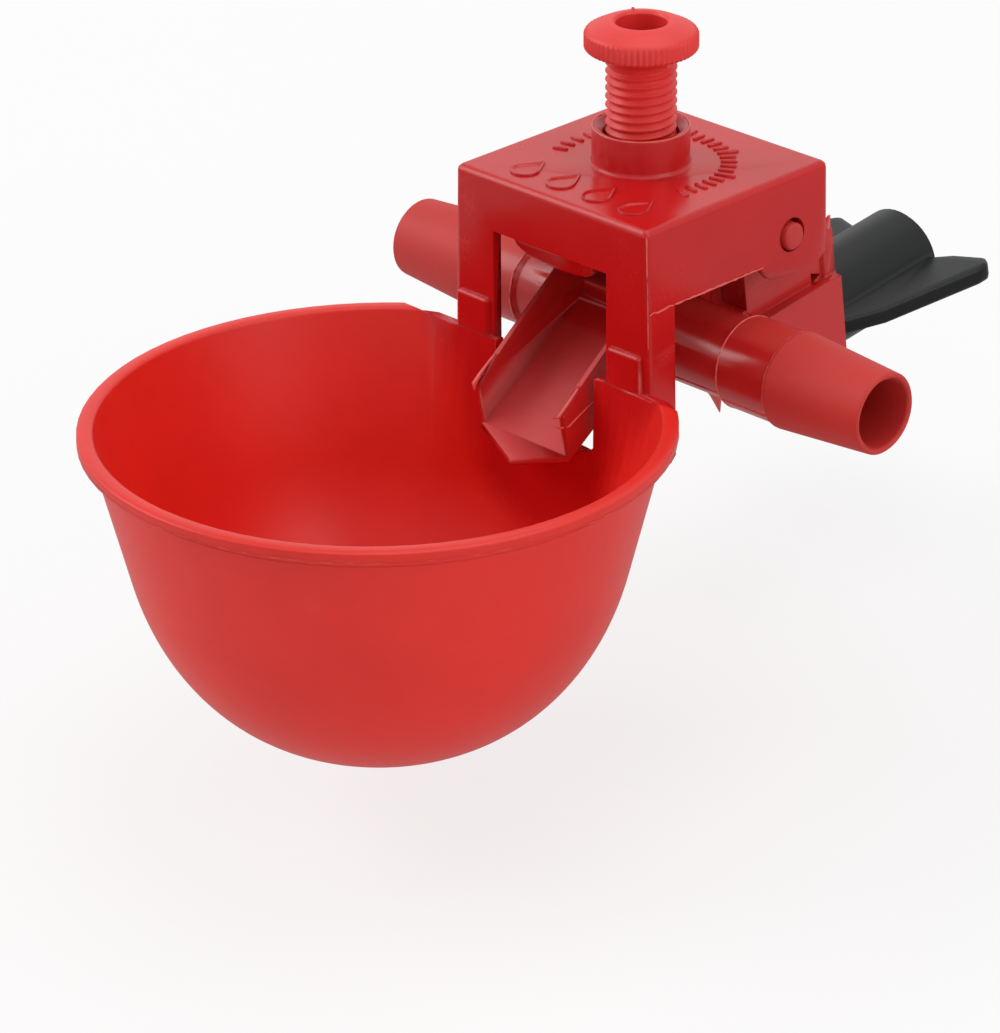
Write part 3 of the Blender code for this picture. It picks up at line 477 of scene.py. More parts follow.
def plastic(name, colour, scuffed, rough, gloss, edge, zones=()):
    """Moulded plastic: cloudy colour, scuffs, uneven gloss, a faint grain and any zones given."""
    made = bpy.data.materials.new(name)
    made.use_nodes = True
    made.diffuse_color = (*colour, 1)
    nodes, links = made.node_tree.nodes, made.node_tree.links
    shader = nodes["Principled BSDF"]
    mottle = nodes.new("ShaderNodeGroup")
    mottle.node_tree = mottle_group()
    scuffs = nodes.new("ShaderNodeGroup")
    scuffs.node_tree = scuff_group()
    tint = nodes.new("ShaderNodeMix")
    tint.data_type = "RGBA"
    tint.blend_type = "MULTIPLY"
    tint.inputs["Factor"].default_value = 1.0
    tint.inputs["A"].default_value = (*colour, 1)
    cloud = mottle.outputs["Cloud"]
    links.new(map_range(nodes, links, cloud, CLOUD_RANGE, SHADE_RANGE), tint.inputs["B"])
    spread = map_range(nodes, links, cloud, CLOUD_RANGE, (rough - GLOSSIER, rough + DULLER))
    rougher = math_node(nodes, links, "MULTIPLY", scuffs.outputs["Scuff"], SCUFF_ROUGHNESS)
    roughness = math_node(nodes, links, "ADD", spread, rougher, clamp=True)
    for zone in zones:
        area = nodes.new("ShaderNodeGroup")
        area.node_tree = zone_group()
        area.inputs["Direction"].default_value = zone["direction"]
        area.inputs["Both Sides"].default_value = zone["both"]
        area.inputs["Start"].default_value = zone["start"]
        area.inputs["End"].default_value = zone["end"]
        blend = nodes.new("ShaderNodeMix")
        blend.data_type = "RGBA"
        if tint.inputs["A"].is_linked:
            links.new(tint.inputs["A"].links[0].from_socket, blend.inputs["A"])
        else:
            blend.inputs["A"].default_value = (*colour, 1)
        blend.inputs["B"].default_value = (*zone["colour"], 1)
        links.new(area.outputs["Zone"], blend.inputs["Factor"])
        links.new(blend.outputs["Result"], tint.inputs["A"])
        change = nodes.new("ShaderNodeMix")
        change.inputs["B"].default_value = zone["rough"]
        links.new(area.outputs["Zone"], change.inputs["Factor"])
        links.new(roughness, change.inputs["A"])
        roughness = change.outputs["Result"]
    links.new(roughness, shader.inputs["Roughness"])
    worn = nodes.new("ShaderNodeMix")
    worn.data_type = "RGBA"
    worn.inputs["B"].default_value = (*scuffed, 1)
    links.new(tint.outputs["Result"], worn.inputs["A"])
    share = math_node(nodes, links, "MULTIPLY", scuffs.outputs["Scuff"], SCUFF_COLOUR)
    links.new(share, worn.inputs["Factor"])
    links.new(worn.outputs["Result"], shader.inputs["Base Color"])
    rounding = nodes.new("ShaderNodeBevel")
    rounding.samples = 4
    rounding.inputs["Radius"].default_value = edge * MM
    relief = nodes.new("ShaderNodeBump")
    relief.inputs["Distance"].default_value = GRAIN_HEIGHT
    relief.inputs["Strength"].default_value = 1.0
    links.new(mottle.outputs["Height"], relief.inputs["Height"])
    links.new(rounding.outputs["Normal"], relief.inputs["Normal"])
    links.new(relief.outputs["Normal"], shader.inputs["Normal"])
    shader.inputs["IOR"].default_value = PLASTIC_IOR
    shader.inputs["Specular IOR Level"].default_value = gloss
    return made


# Settings


class ScrewSettings(bpy.types.PropertyGroup):
    reach: FloatProperty(name="Reach", description="From the pins forward to the screw, mm", default=11.05)
    stem_radius: FloatProperty(name="Stem Radius", description="Over the thread's crests, mm", default=5.0)
    thread_depth: FloatProperty(name="Thread Depth", description="Crest to root, mm", default=0.55)
    pitch: FloatProperty(name="Pitch", description="Crest to crest, mm", default=1.25)
    head_radius: FloatProperty(name="Head Radius", description="Over the knurl, mm", default=8.0)
    head_under: FloatProperty(name="Head Underside", description="Height above the pins, mm", default=26.04)
    head_height: FloatProperty(name="Head Height", description="Underside to crown, mm", default=4.1)
    head_slope: FloatProperty(
        name="Crown Slope", description="Fall of the crown per unit outwards", default=0.42
    )
    tip: FloatProperty(name="Tip", description="Height of the tip above the pins, mm", default=-2.92)
    core_radius: FloatProperty(name="Core Radius", description="Blind hole in the head, mm", default=3.6)
    core_depth: FloatProperty(name="Core Depth", description="Depth of the blind hole, mm", default=14.0)
    teeth: IntProperty(name="Knurl Teeth", description="Teeth round the head", default=60)
    tooth_depth: FloatProperty(name="Tooth Depth", description="Depth of a tooth, mm", default=0.25)
    land: FloatProperty(
        name="Land", description="From the blind hole out to the crown's slope, mm", default=0.9
    )
    pad_hole_radius: FloatProperty(name="Pad Hole", description="Radius of the pad's hole, mm", default=1.8)
    pad_hole_depth: FloatProperty(name="Pad Hole Depth", description="Depth of the hole, mm", default=4.6)
    run_in: FloatProperty(name="Run In", description="From the tip up to the thread, mm", default=1.2)
    run_out: FloatProperty(name="Run Out", description="From the thread up to the head, mm", default=0.9)


class EdgeSettings(bpy.types.PropertyGroup):
    smooth_angle: FloatProperty(
        name="Smooth Angle", description="Sharpest edge shaded smooth, degrees", default=32.0
    )
    edge_width: FloatProperty(
        name="Edge Width", description="Radius of the moulded edges' shading, mm", default=0.28
    )


class BowlSettings(bpy.types.PropertyGroup):
    rim_radius: FloatProperty(
        name="Rim Radius", description="Outside of the bare wall at the rim, mm", default=39.4
    )
    draft: FloatProperty(name="Draft", description="Lean of the straight wall, degrees", default=14.1)
    straight: FloatProperty(name="Straight", description="Depth of the straight wall, mm", default=21.2)
    depth: FloatProperty(name="Depth", description="Depth of the bowl, mm", default=46.8)
    foot_radius: FloatProperty(name="Foot Radius", description="Radius of the flat foot, mm", default=4.0)
    fullness: FloatProperty(name="Fullness", description="Share that rounds the bowl's bottom", default=0.54)
    top: FloatProperty(
        name="Top", description="Depth at which the skin begins under the lip, mm", default=3.0
    )
    skin: FloatProperty(name="Skin", description="Thickness of the skin inside the wall, mm", default=0.4)
    proud: FloatProperty(
        name="Proud", description="How far the skin stands over the facets, mm", default=0.02
    )
    rim_drop: FloatProperty(name="Rim Drop", description="From the pins down to the rim, mm", default=13.6)
    axis: FloatProperty(
        name="Axis", description="From the pins forward to the bowl's axis, mm", default=62.43
    )
    cut: FloatProperty(
        name="Cut", description="From the bowl's axis back to the skin's end, mm", default=31.2
    )
    sides: IntProperty(name="Sides", description="Sides of the turned skin", default=200)
    steps: IntProperty(name="Steps", description="Steps round the bowl's bottom", default=36)


class SpringSettings(bpy.types.PropertyGroup):
    closed_share: FloatProperty(
        name="Closed Share", description="Share of the spring's height with the valve closed", default=0.81
    )


class PocketSettings(bpy.types.PropertyGroup):
    inner: FloatProperty(
        name="Inner", description="From the middle to the pocket's inner end, mm", default=11.6
    )
    depth: FloatProperty(name="Depth", description="Length of the pocket outwards, mm", default=2.4)
    behind: FloatProperty(name="Behind", description="From the pins back to the pocket, mm", default=9.1)
    drop: FloatProperty(name="Drop", description="From the pins down to the pocket, mm", default=12.3)
    half_length: FloatProperty(name="Half Length", description="Half the pocket's length, mm", default=1.3)
    half_height: FloatProperty(name="Half Height", description="Half the pocket's height, mm", default=1.1)


class StudSettings(bpy.types.PropertyGroup):
    radius: FloatProperty(name="Stud Radius", description="Radius of the bare stud, mm", default=4.0)
    crest: FloatProperty(name="Crest", description="Height of the ridge, mm", default=0.26)
    pitch: FloatProperty(name="Pitch", description="Crest to crest, mm", default=1.5)
    length: FloatProperty(name="Length", description="Length of the stud, mm", default=25.0)
    sink: FloatProperty(
        name="Sink", description="How deep the ridge's middle lies in the stud, mm", default=0.06
    )
    bare: FloatProperty(name="Bare", description="Bare length at each end, mm", default=1.2)


class MarkSettings(bpy.types.PropertyGroup):
    top: FloatProperty(
        name="Cover Top", description="Height of the cover's top above the pins, mm", default=9.14
    )
    height: FloatProperty(name="Height", description="How far the marks stand up, mm", default=0.35)
    stroke: FloatProperty(name="Stroke", description="Width of a raised line, mm", default=0.75)
    ring_radius: FloatProperty(
        name="Ring Radius", description="From the screw to the ticks, mm", default=11.1
    )
    tick_length: FloatProperty(name="Tick Length", description="Length of a long tick, mm", default=3.2)
    tick_step: FloatProperty(name="Tick Step", description="Degrees between ticks", default=8.0)
    first_tick: FloatProperty(name="First Tick", description="Degrees from the right", default=-20.0)
    last_tick: FloatProperty(name="Last Tick", description="Degrees from the right", default=100.0)
    drop_radius: FloatProperty(
        name="Drop Radius", description="Radius of a drop's round end, mm", default=2.1
    )
    drop_pitch: FloatProperty(name="Drop Pitch", description="Drop to drop, mm", default=6.9)
    short_tick: FloatProperty(name="Short Tick", description="Length of a short tick, mm", default=2.4)
    long_every: IntProperty(name="Long Every", description="Ticks from one long tick to the next", default=5)
    drops: IntProperty(name="Drops", description="Drops in the row", default=4)
    drop_start: FloatProperty(name="Drop Start", description="Drop pitches left of the middle", default=1.35)
    drop_reach: FloatProperty(
        name="Drop Reach", description="From the pins forward to the row, mm", default=24.6
    )


class FlashSettings(bpy.types.PropertyGroup):
    thickness: FloatProperty(
        name="Thickness", description="Half the thickness of a flash line, mm", default=0.13
    )
    seed: IntProperty(name="Seed", description="Start of the ragged edges' random numbers", default=4)
    collar_radius: FloatProperty(name="Collar Radius", description="Ring on the boss, mm", default=6.75)
    collar_height: FloatProperty(name="Collar Height", description="Above the pins, mm", default=14.68)
    lip_radius: FloatProperty(name="Lip Radius", description="Ring under the lip, mm", default=40.5)
    lip_drop: FloatProperty(name="Lip Drop", description="From the pins down to the ring, mm", default=15.12)
    lip_cut: FloatProperty(
        name="Lip Cut", description="Where the lip's ring stops, mm along Y", default=-31.5
    )


class FinishSettings(bpy.types.PropertyGroup):
    cup_colour: FloatVectorProperty(
        name="Cover", description="Colour of the cover and legs",
        subtype="COLOR", default=(0.56, 0.008, 0.009),
    )
    # Bowl: the same plastic as the cover, given a lighter red as painted light for the brighter-lit bowl
    bowl_painted_light_colour: FloatVectorProperty(
        name="Bowl", description="Colour of the thin bowl",
        subtype="COLOR", default=(0.78, 0.020, 0.012),
    )
    body_colour: FloatVectorProperty(
        name="Valve Body", description="Colour of the valve body",
        subtype="COLOR", default=(0.54, 0.016, 0.015),
    )
    barb_colour: FloatVectorProperty(
        name="Hose Barbs", description="Colour of the matte barbs",
        subtype="COLOR", default=(0.56, 0.025, 0.019),
    )
    screw_colour: FloatVectorProperty(
        name="Screw", description="Colour of the adjusting screw",
        subtype="COLOR", default=(0.78, 0.032, 0.028),
    )
    nut_colour: FloatVectorProperty(
        name="Wing Nut", description="Colour of the wing nut",
        subtype="COLOR", default=(0.010, 0.011, 0.012),
    )
    flash_colour: FloatVectorProperty(
        name="Flash", description="Colour of the thin pale flash",
        subtype="COLOR", default=(0.78, 0.12, 0.10),
    )


class StageSettings(bpy.types.PropertyGroup):
    floor_gap: FloatProperty(
        name="Floor Gap",
        description="Room under the cup for its tilt",
        default=0.011,
        unit="LENGTH",
    )
    lens: FloatProperty(name="Lens", description="Focal length, mm", default=188.88)
    paper_glow: FloatProperty(
        name="Paper Glow", description="Share of the floor that is seen plain white", default=0.75
    )
    paper_in_gloss: FloatProperty(
        name="Paper In Gloss", description="Strength of the floor in reflections", default=0.38
    )
    sky_light: FloatProperty(name="Sky Light", description="Strength of the surrounding light", default=0.5)


# Operators


class DRINKINGCUP_OT_finishes(bpy.types.Operator):
    """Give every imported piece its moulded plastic, rubber or steel"""

    bl_idname = "drinkingcup.finishes"
    bl_label = "Finish Mouldings"

    def execute(self, context):
        tones = context.scene.drinking_cup_finish
        edge = context.scene.drinking_cup_edges.edge_width
        # The bowl zone: a rougher finish, and a lighter red than the cover's that paints in the brighter
        # light the bowl catches
        bowl = dict(
            direction=(0, -math.cos(LIFT), math.sin(LIFT)), both=0.0, start=0.0467, end=0.0490,
            colour=tones.bowl_painted_light_colour, rough=0.36,
        )
        barbs = dict(
            direction=(1, 0, 0), both=1.0, start=0.0289, end=0.0291, colour=tones.barb_colour, rough=0.58
        )
        cheeks = dict(
            direction=(0, 0, 1), both=0.0, start=0.0184, end=0.0192, colour=tones.barb_colour, rough=0.5
        )
        chute = dict(
            direction=(0, -1, 0), both=0.0, start=0.0325, end=0.0345, colour=tones.body_colour, rough=0.46
        )
        finishes = {
            "cup_frame": plastic(
                "Cup Red", tones.cup_colour, scuffed=(0.72, 0.09, 0.08), rough=0.24, gloss=0.4, edge=edge,
                zones=(bowl,),
            ),
            "valve_body": plastic(
                "Body Red", tones.body_colour, scuffed=(0.60, 0.07, 0.06), rough=0.22, gloss=0.5, edge=edge,
                zones=(cheeks, chute, barbs),
            ),
            "adjusting_screw": plastic(
                "Screw Red", tones.screw_colour, scuffed=(0.75, 0.12, 0.11), rough=0.42, gloss=0.5, edge=edge
            ),
            "wing_nut": plastic(
                "Nut Black", tones.nut_colour, scuffed=(0.05, 0.05, 0.05), rough=0.34, gloss=0.24, edge=edge
            ),
            "valve_pad": plastic(
                "Pad Rubber", (0.012, 0.012, 0.012), scuffed=(0.05, 0.05, 0.05), rough=0.7, gloss=0.3,
                edge=edge,
            ),
            "return_spring": plastic(
                "Spring Steel", (0.6, 0.6, 0.6), scuffed=(0.4, 0.4, 0.4), rough=0.3, gloss=0.5, edge=0.05
            ),
        }
        plastic("Flash Pink", tones.flash_colour, scuffed=(0.9, 0.3, 0.28), rough=0.35, gloss=0.5, edge=0.02)
        steel = finishes["return_spring"].node_tree.nodes["Principled BSDF"]
        steel.inputs["Metallic"].default_value = 1.0
        for node, finish in finishes.items():
            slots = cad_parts[node].data.materials
            slots.clear()
            slots.append(finish)
        return {"FINISHED"}


class DRINKINGCUP_OT_mouldings(bpy.types.Operator):
    """Shade the cup frame, the valve body and the wing nut smooth, with their edges kept"""

    bl_idname = "drinkingcup.mouldings"
    bl_label = "Smooth Mouldings"

    def execute(self, context):
        size = context.scene.drinking_cup_edges
        for node, body, slot, finish in (
            ("cup_frame", "cup", "cup_red", "Cup Red"),
            ("valve_body", "body", "body_red", "Body Red"),
            ("wing_nut", "nut", "nut_black", "Nut Black"),
        ):
            piece = merged(node, "moulded_" + node)
            if node == "valve_body":
                self.cut_pockets(piece, context.scene.drinking_cup_pocket)
            settle(piece, Matrix.Identity(4), body, finish, size.smooth_angle)
            weights = piece.modifiers.new("Flat Faces", "WEIGHTED_NORMAL")
            weights.mode = "FACE_AREA"
            weights.weight = 100
            weights.keep_sharp = True
            apply_modifiers(piece)
            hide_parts(node)
        return {"FINISHED"}

    def cut_pockets(self, piece, size):
        """Cuts the three-cornered opening between each cheek and the plate."""
        for side in (-1, 1):
            start_fresh()
            bpy.ops.mesh.primitive_circle_add(
                vertices=3, radius=1, fill_type="NGON", rotation=(0, math.pi / 2, 0)
            )
            cutter = bpy.context.object
            fix_place()
            cutter.scale = (1, size.half_length, size.half_height)
            cutter.location = (side * size.inner, size.behind, -size.drop)
            fix_place()
            edit_all()
            bpy.ops.mesh.extrude_region_move(TRANSFORM_OT_translate={"value": (side * size.depth, 0, 0)})
            face_outward()
            cutter.matrix_world = body_frame_matrix()
            fix_place()
            cut = piece.modifiers.new("Pocket", "BOOLEAN")
            cut.operation = "DIFFERENCE"
            cut.object = cutter
            apply_modifiers(piece)
            bpy.data.objects.remove(cutter, do_unlink=True)


class DRINKINGCUP_OT_screw(bpy.types.Operator):
    """Turn the adjusting screw with its knurled head, and cut its thread"""

    bl_idname = "drinkingcup.screw"
    bl_label = "Add Adjusting Screw"

    def execute(self, context):
        size = context.scene.drinking_cup_screw
        root = size.stem_radius - size.thread_depth
        tip = size.tip
        under = size.head_under
        crown = under + size.head_height
        r = size.head_radius
        land = size.core_radius + size.land
        brow = crown - size.head_slope * (r - 0.6 - land)
        head = turned(
            "screw_head",
            [
                (size.pad_hole_radius, tip + size.pad_hole_depth),
                (size.pad_hole_radius, tip),
                (root - 0.3, tip),
                (root, tip + 0.3),
                (root, under),
                (r - 0.4, under),
                (r, under + 0.35),
                (r, brow - 0.55),
                (r - 0.25, brow - 0.15),
                (r - 0.75, brow + 0.08),
                ((r + land) / 2 - 0.3, (brow + crown) / 2 + 0.12),
                (land + 0.4, crown - 0.06),
                (size.core_radius + 0.35, crown),
                (size.core_radius, crown - 0.35),
                (size.core_radius * 0.97, crown - size.core_depth),
            ],
            size.teeth * 2,
        )
        start_fresh()
        context.view_layer.objects.active = head
        step = math.pi / size.teeth

        def in_valley(place):
            if not under - 0.01 <= place.z <= brow - 0.1:
                return False
            if math.hypot(place.x, place.y) < r - 0.5:
                return False
            turn = math.atan2(place.y, place.x) % (2 * step)
            return abs(turn - step) < step / 2

        edit_vertices(in_valley)
        share = 1 - size.tooth_depth / r
        bpy.ops.transform.resize(value=(share, share, 1), center_override=(0, 0, 0))
        bpy.ops.object.mode_set(mode="OBJECT")
        low = tip + size.run_in
        high = under - size.run_out
        ridge = thread_ridge("screw_thread", root + 0.02, size.thread_depth, size.pitch, low, high)
        nub = drawn(
            "sprue_nub", [(-3.7, 2.2, crown - 0.1), (-3.8, 2.3, crown + 0.35)], [0.4, 0.2]
        )
        piece = join([head, ridge, nub])
        piece.name = "threaded_screw"
        place = cup_frame_matrix() @ Matrix.Translation((0, -size.reach, 0))
        settle(piece, place, "screw", "Screw Red")
        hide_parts("adjusting_screw")
        return {"FINISHED"}


class DRINKINGCUP_OT_bowl(bpy.types.Operator):
    """Lay a finely turned skin over the bowl's outside, under the lip"""

    bl_idname = "drinkingcup.bowl"
    bl_label = "Add Bowl Skin"

    def execute(self, context):
        size = context.scene.drinking_cup_bowl
        slope = math.tan(math.radians(size.draft))
        start = Vector((size.rim_radius - size.straight * slope, size.straight))
        end = Vector((size.foot_radius, size.depth))
        drop = size.fullness * (end.y - start.y)
        first = start + Vector((-drop * slope, drop))
        second = Vector((end.x + size.fullness * (start.x - end.x), end.y))
        outer = [Vector((size.rim_radius - size.top * slope, size.top))]
        outer += interpolate_bezier(start, first, second, end, size.steps)
        inner = [point - Vector((size.skin, size.skin)) for point in outer]
        outer = [point + Vector((size.proud, size.proud)) for point in outer]
        path = list(reversed(inner)) + outer
        middle = 0.3
        profile = [(middle, -size.rim_drop - path[0].y)]
        profile += [(point.x, -size.rim_drop - point.y) for point in path]
        profile.append((middle, -size.rim_drop - path[-1].y))
        piece = turned("bowl_skin", profile, size.sides)
        edit_all()
        bpy.ops.mesh.bisect(plane_co=(0, size.cut, 0), plane_no=(0, 1, 0), use_fill=True, clear_outer=True)
        bpy.ops.object.mode_set(mode="OBJECT")
        place = cup_frame_matrix() @ Matrix.Translation((0, -size.axis, 0))
        settle(piece, place, "cup", "Cup Red", angle=30)
        return {"FINISHED"}


class DRINKINGCUP_OT_spring(bpy.types.Operator):
    """Copy the return spring, merged and shaded smooth, onto the valve body"""

    bl_idname = "drinkingcup.spring"
    bl_label = "Add Return Spring"

    def execute(self, context):
        piece = merged("return_spring", "coil_spring")
        settle(piece, Matrix.Identity(4), "body", "Spring Steel", angle=50)
        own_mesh(piece)
        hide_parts("return_spring")
        return {"FINISHED"}


class DRINKINGCUP_OT_stud_thread(bpy.types.Operator):
    """Cut the stud's thread, inside the wing nut's clearance"""

    bl_idname = "drinkingcup.stud_thread"
    bl_label = "Add Stud Thread"

    def execute(self, context):
        size = context.scene.drinking_cup_stud
        middle = size.radius - size.sink
        high = size.length - size.bare
        ridge = thread_ridge("stud_thread", middle, size.crest, size.pitch, size.bare, high, sides=32)
        along = Matrix.Rotation(-math.pi / 2, 4, "X") @ Matrix.Scale(MM, 4)
        settle(ridge, along, "body", "Body Red", angle=60)
        return {"FINISHED"}


class DRINKINGCUP_OT_marks(bpy.types.Operator):
    """Raise the plain level ticks round the boss and the row of drops along the front of the cover"""

    bl_idname = "drinkingcup.marks"
    bl_label = "Add Raised Marks"

    def execute(self, context):
        size = context.scene.drinking_cup_marks
        pieces = []
        turn = size.first_tick
        count = 0
        while turn <= size.last_tick:
            long = count % size.long_every == 0
            pieces.append(self.tick(context, turn, size.tick_length if long else size.short_tick))
            turn += size.tick_step
            count += 1
        for turn in LEFT_TICKS:
            pieces.append(self.tick(context, turn, size.short_tick))
        first = self.drop(size)
        for i in range(size.drops):
            take(first)
            bpy.ops.object.duplicate()
            copy = context.object
            across = (i - size.drop_start) * size.drop_pitch
            bpy.ops.transform.translate(value=(across, -size.drop_reach, size.top))
            fix_place()
            pieces.append(copy)
        bpy.data.objects.remove(first, do_unlink=True)
        marks = join(pieces)
        give_name(marks, "cover_marks")
        settle(marks, cup_frame_matrix(), "cup", "Cup Red", angle=40)
        return {"FINISHED"}

    def tick(self, context, turn, length):
        """A low round-ended bar that points at the screw."""
        size = context.scene.drinking_cup_marks
        screw_reach = context.scene.drinking_cup_screw.reach
        start_fresh()
        reach = size.ring_radius + length / 2
        angle = math.radians(turn)
        bpy.ops.mesh.primitive_cube_add(size=1.0)
        bar = bpy.context.object
        bar.scale = (length, size.stroke, size.height * 2)
        fix_place()
        bevel = bar.modifiers.new("Soft Edges", "BEVEL")
        bevel.width = size.stroke * 0.4
        bevel.segments = 2
        apply_modifiers(bar)
        bar.rotation_euler = (0, 0, angle)
        bar.location = (reach * math.cos(angle), reach * math.sin(angle) - screw_reach, size.top)
        fix_place()
        return bar

    def drop(self, size):
        """The raised outline of a water drop."""
        start_fresh()
        r = size.drop_radius
        bpy.ops.mesh.primitive_circle_add(
            vertices=28, radius=r, fill_type="NGON", location=(0, 0, -size.height)
        )
        piece = bpy.context.object
        piece.name = "drop_mark"
        edit_vertices(lambda place: place.y > r * 0.55)
        bpy.ops.mesh.merge(type="CENTER")
        edit_vertices(lambda place: place.y > r * 0.55)
        bpy.ops.transform.translate(value=(0, r * 1.1, 0))
        bpy.ops.mesh.select_all(action="SELECT")
        bpy.ops.mesh.extrude_region_move(TRANSFORM_OT_translate={"value": (0, 0, 2 * size.height)})
        bpy.ops.mesh.inset(thickness=size.stroke)
        bpy.ops.transform.translate(value=(0, 0, -1.5 * size.height))
        face_outward()
        bevel = piece.modifiers.new("Soft Edges", "BEVEL")
        bevel.width = size.stroke * 0.18
        bevel.segments = 2
        bevel.limit_method = "ANGLE"
        apply_modifiers(piece)
        return piece


class DRINKINGCUP_OT_flash(bpy.types.Operator):
    """Leave the moulder's flash: curls on the chute, lines on the cover and the tube, a thorn and a shard"""

    bl_idname = "drinkingcup.flash"
    bl_label = "Add Moulding Flash"

    def execute(self, context):
        size = context.scene.drinking_cup_flash
        chance = random.Random(size.seed)
        thick = size.thickness
        body = []
        for name, points, shares in BODY_THREADS:
            body.append(drawn(name, points, [thick * share for share in shares]))
        for low, high, reach in PARTING_LINES:
            y = TUBE_Y + reach * PARTING_SIDE[0]
            z = TUBE_Z + reach * PARTING_SIDE[1]
            thin, full = (thick * share for share in PARTING_SHARES)
            ends = ((low, y, z), (high, y, z))
            points, radii = ragged(*ends, PARTING_STEP, chance, thin, full, PARTING_SWAY)
            body.append(drawn("tube_parting", points, radii))
        for reach, across in TUBE_RINGS:
            for side in (-1, 1):
                edge = self.ring(size, reach, (0, 0, 0), TUBE_RING_SIDES, 0.0)
                edge.rotation_euler = (0, math.pi / 2, 0)
                edge.location = (side * across, TUBE_Y, TUBE_Z)
                fix_place()
                body.append(edge)
        cup = []
        for start, end, low, high, sway in COVER_LINES:
            points, radii = ragged(start, end, COVER_STEP, chance, thick * low, thick * high, sway)
            cup.append(drawn("cover_line", points, radii))
        screw_reach = context.scene.drinking_cup_screw.reach
        bowl_reach = context.scene.drinking_cup_bowl.axis
        collar = (0, -screw_reach, size.collar_height)
        lip = (0, -bowl_reach, -size.lip_drop)
        cup.append(self.ring(size, size.collar_radius, collar, COLLAR_RING_SIDES, 0.0))
        cup.append(self.ring(size, size.lip_radius, lip, LIP_RING_SIDES, size.lip_cut))
        for name, pieces, matrix, ride, slot in (
            ("body_flash", body, body_frame_matrix(), "body", "body_red"),
            ("cup_flash", cup, cup_frame_matrix(), "cup", "cup_red"),
        ):
            piece = join(pieces)
            give_name(piece, name)
            settle(piece, matrix, ride, "Flash Pink", angle=60)
        return {"FINISHED"}

    def ring(self, size, radius, centre, sides, cut):
        """A thin uneven ring, cut off behind a flat where there is one."""
        start_fresh()
        bpy.ops.mesh.primitive_torus_add(
            major_radius=radius,
            minor_radius=size.thickness,
            major_segments=sides,
            minor_segments=6,
            location=centre,
        )
        piece = bpy.context.object
        piece.name = "edge_ring"
        fix_place()
        edit_all()
        bpy.ops.transform.vertex_random(offset=size.thickness * RING_UNEVENNESS, seed=size.seed)
        if cut:
            bpy.ops.mesh.select_all(action="SELECT")
            bpy.ops.mesh.bisect(
                plane_co=(0, cut, 0), plane_no=(0, 1, 0), use_fill=True, clear_outer=True
            )
        bpy.ops.object.mode_set(mode="OBJECT")
        return piece


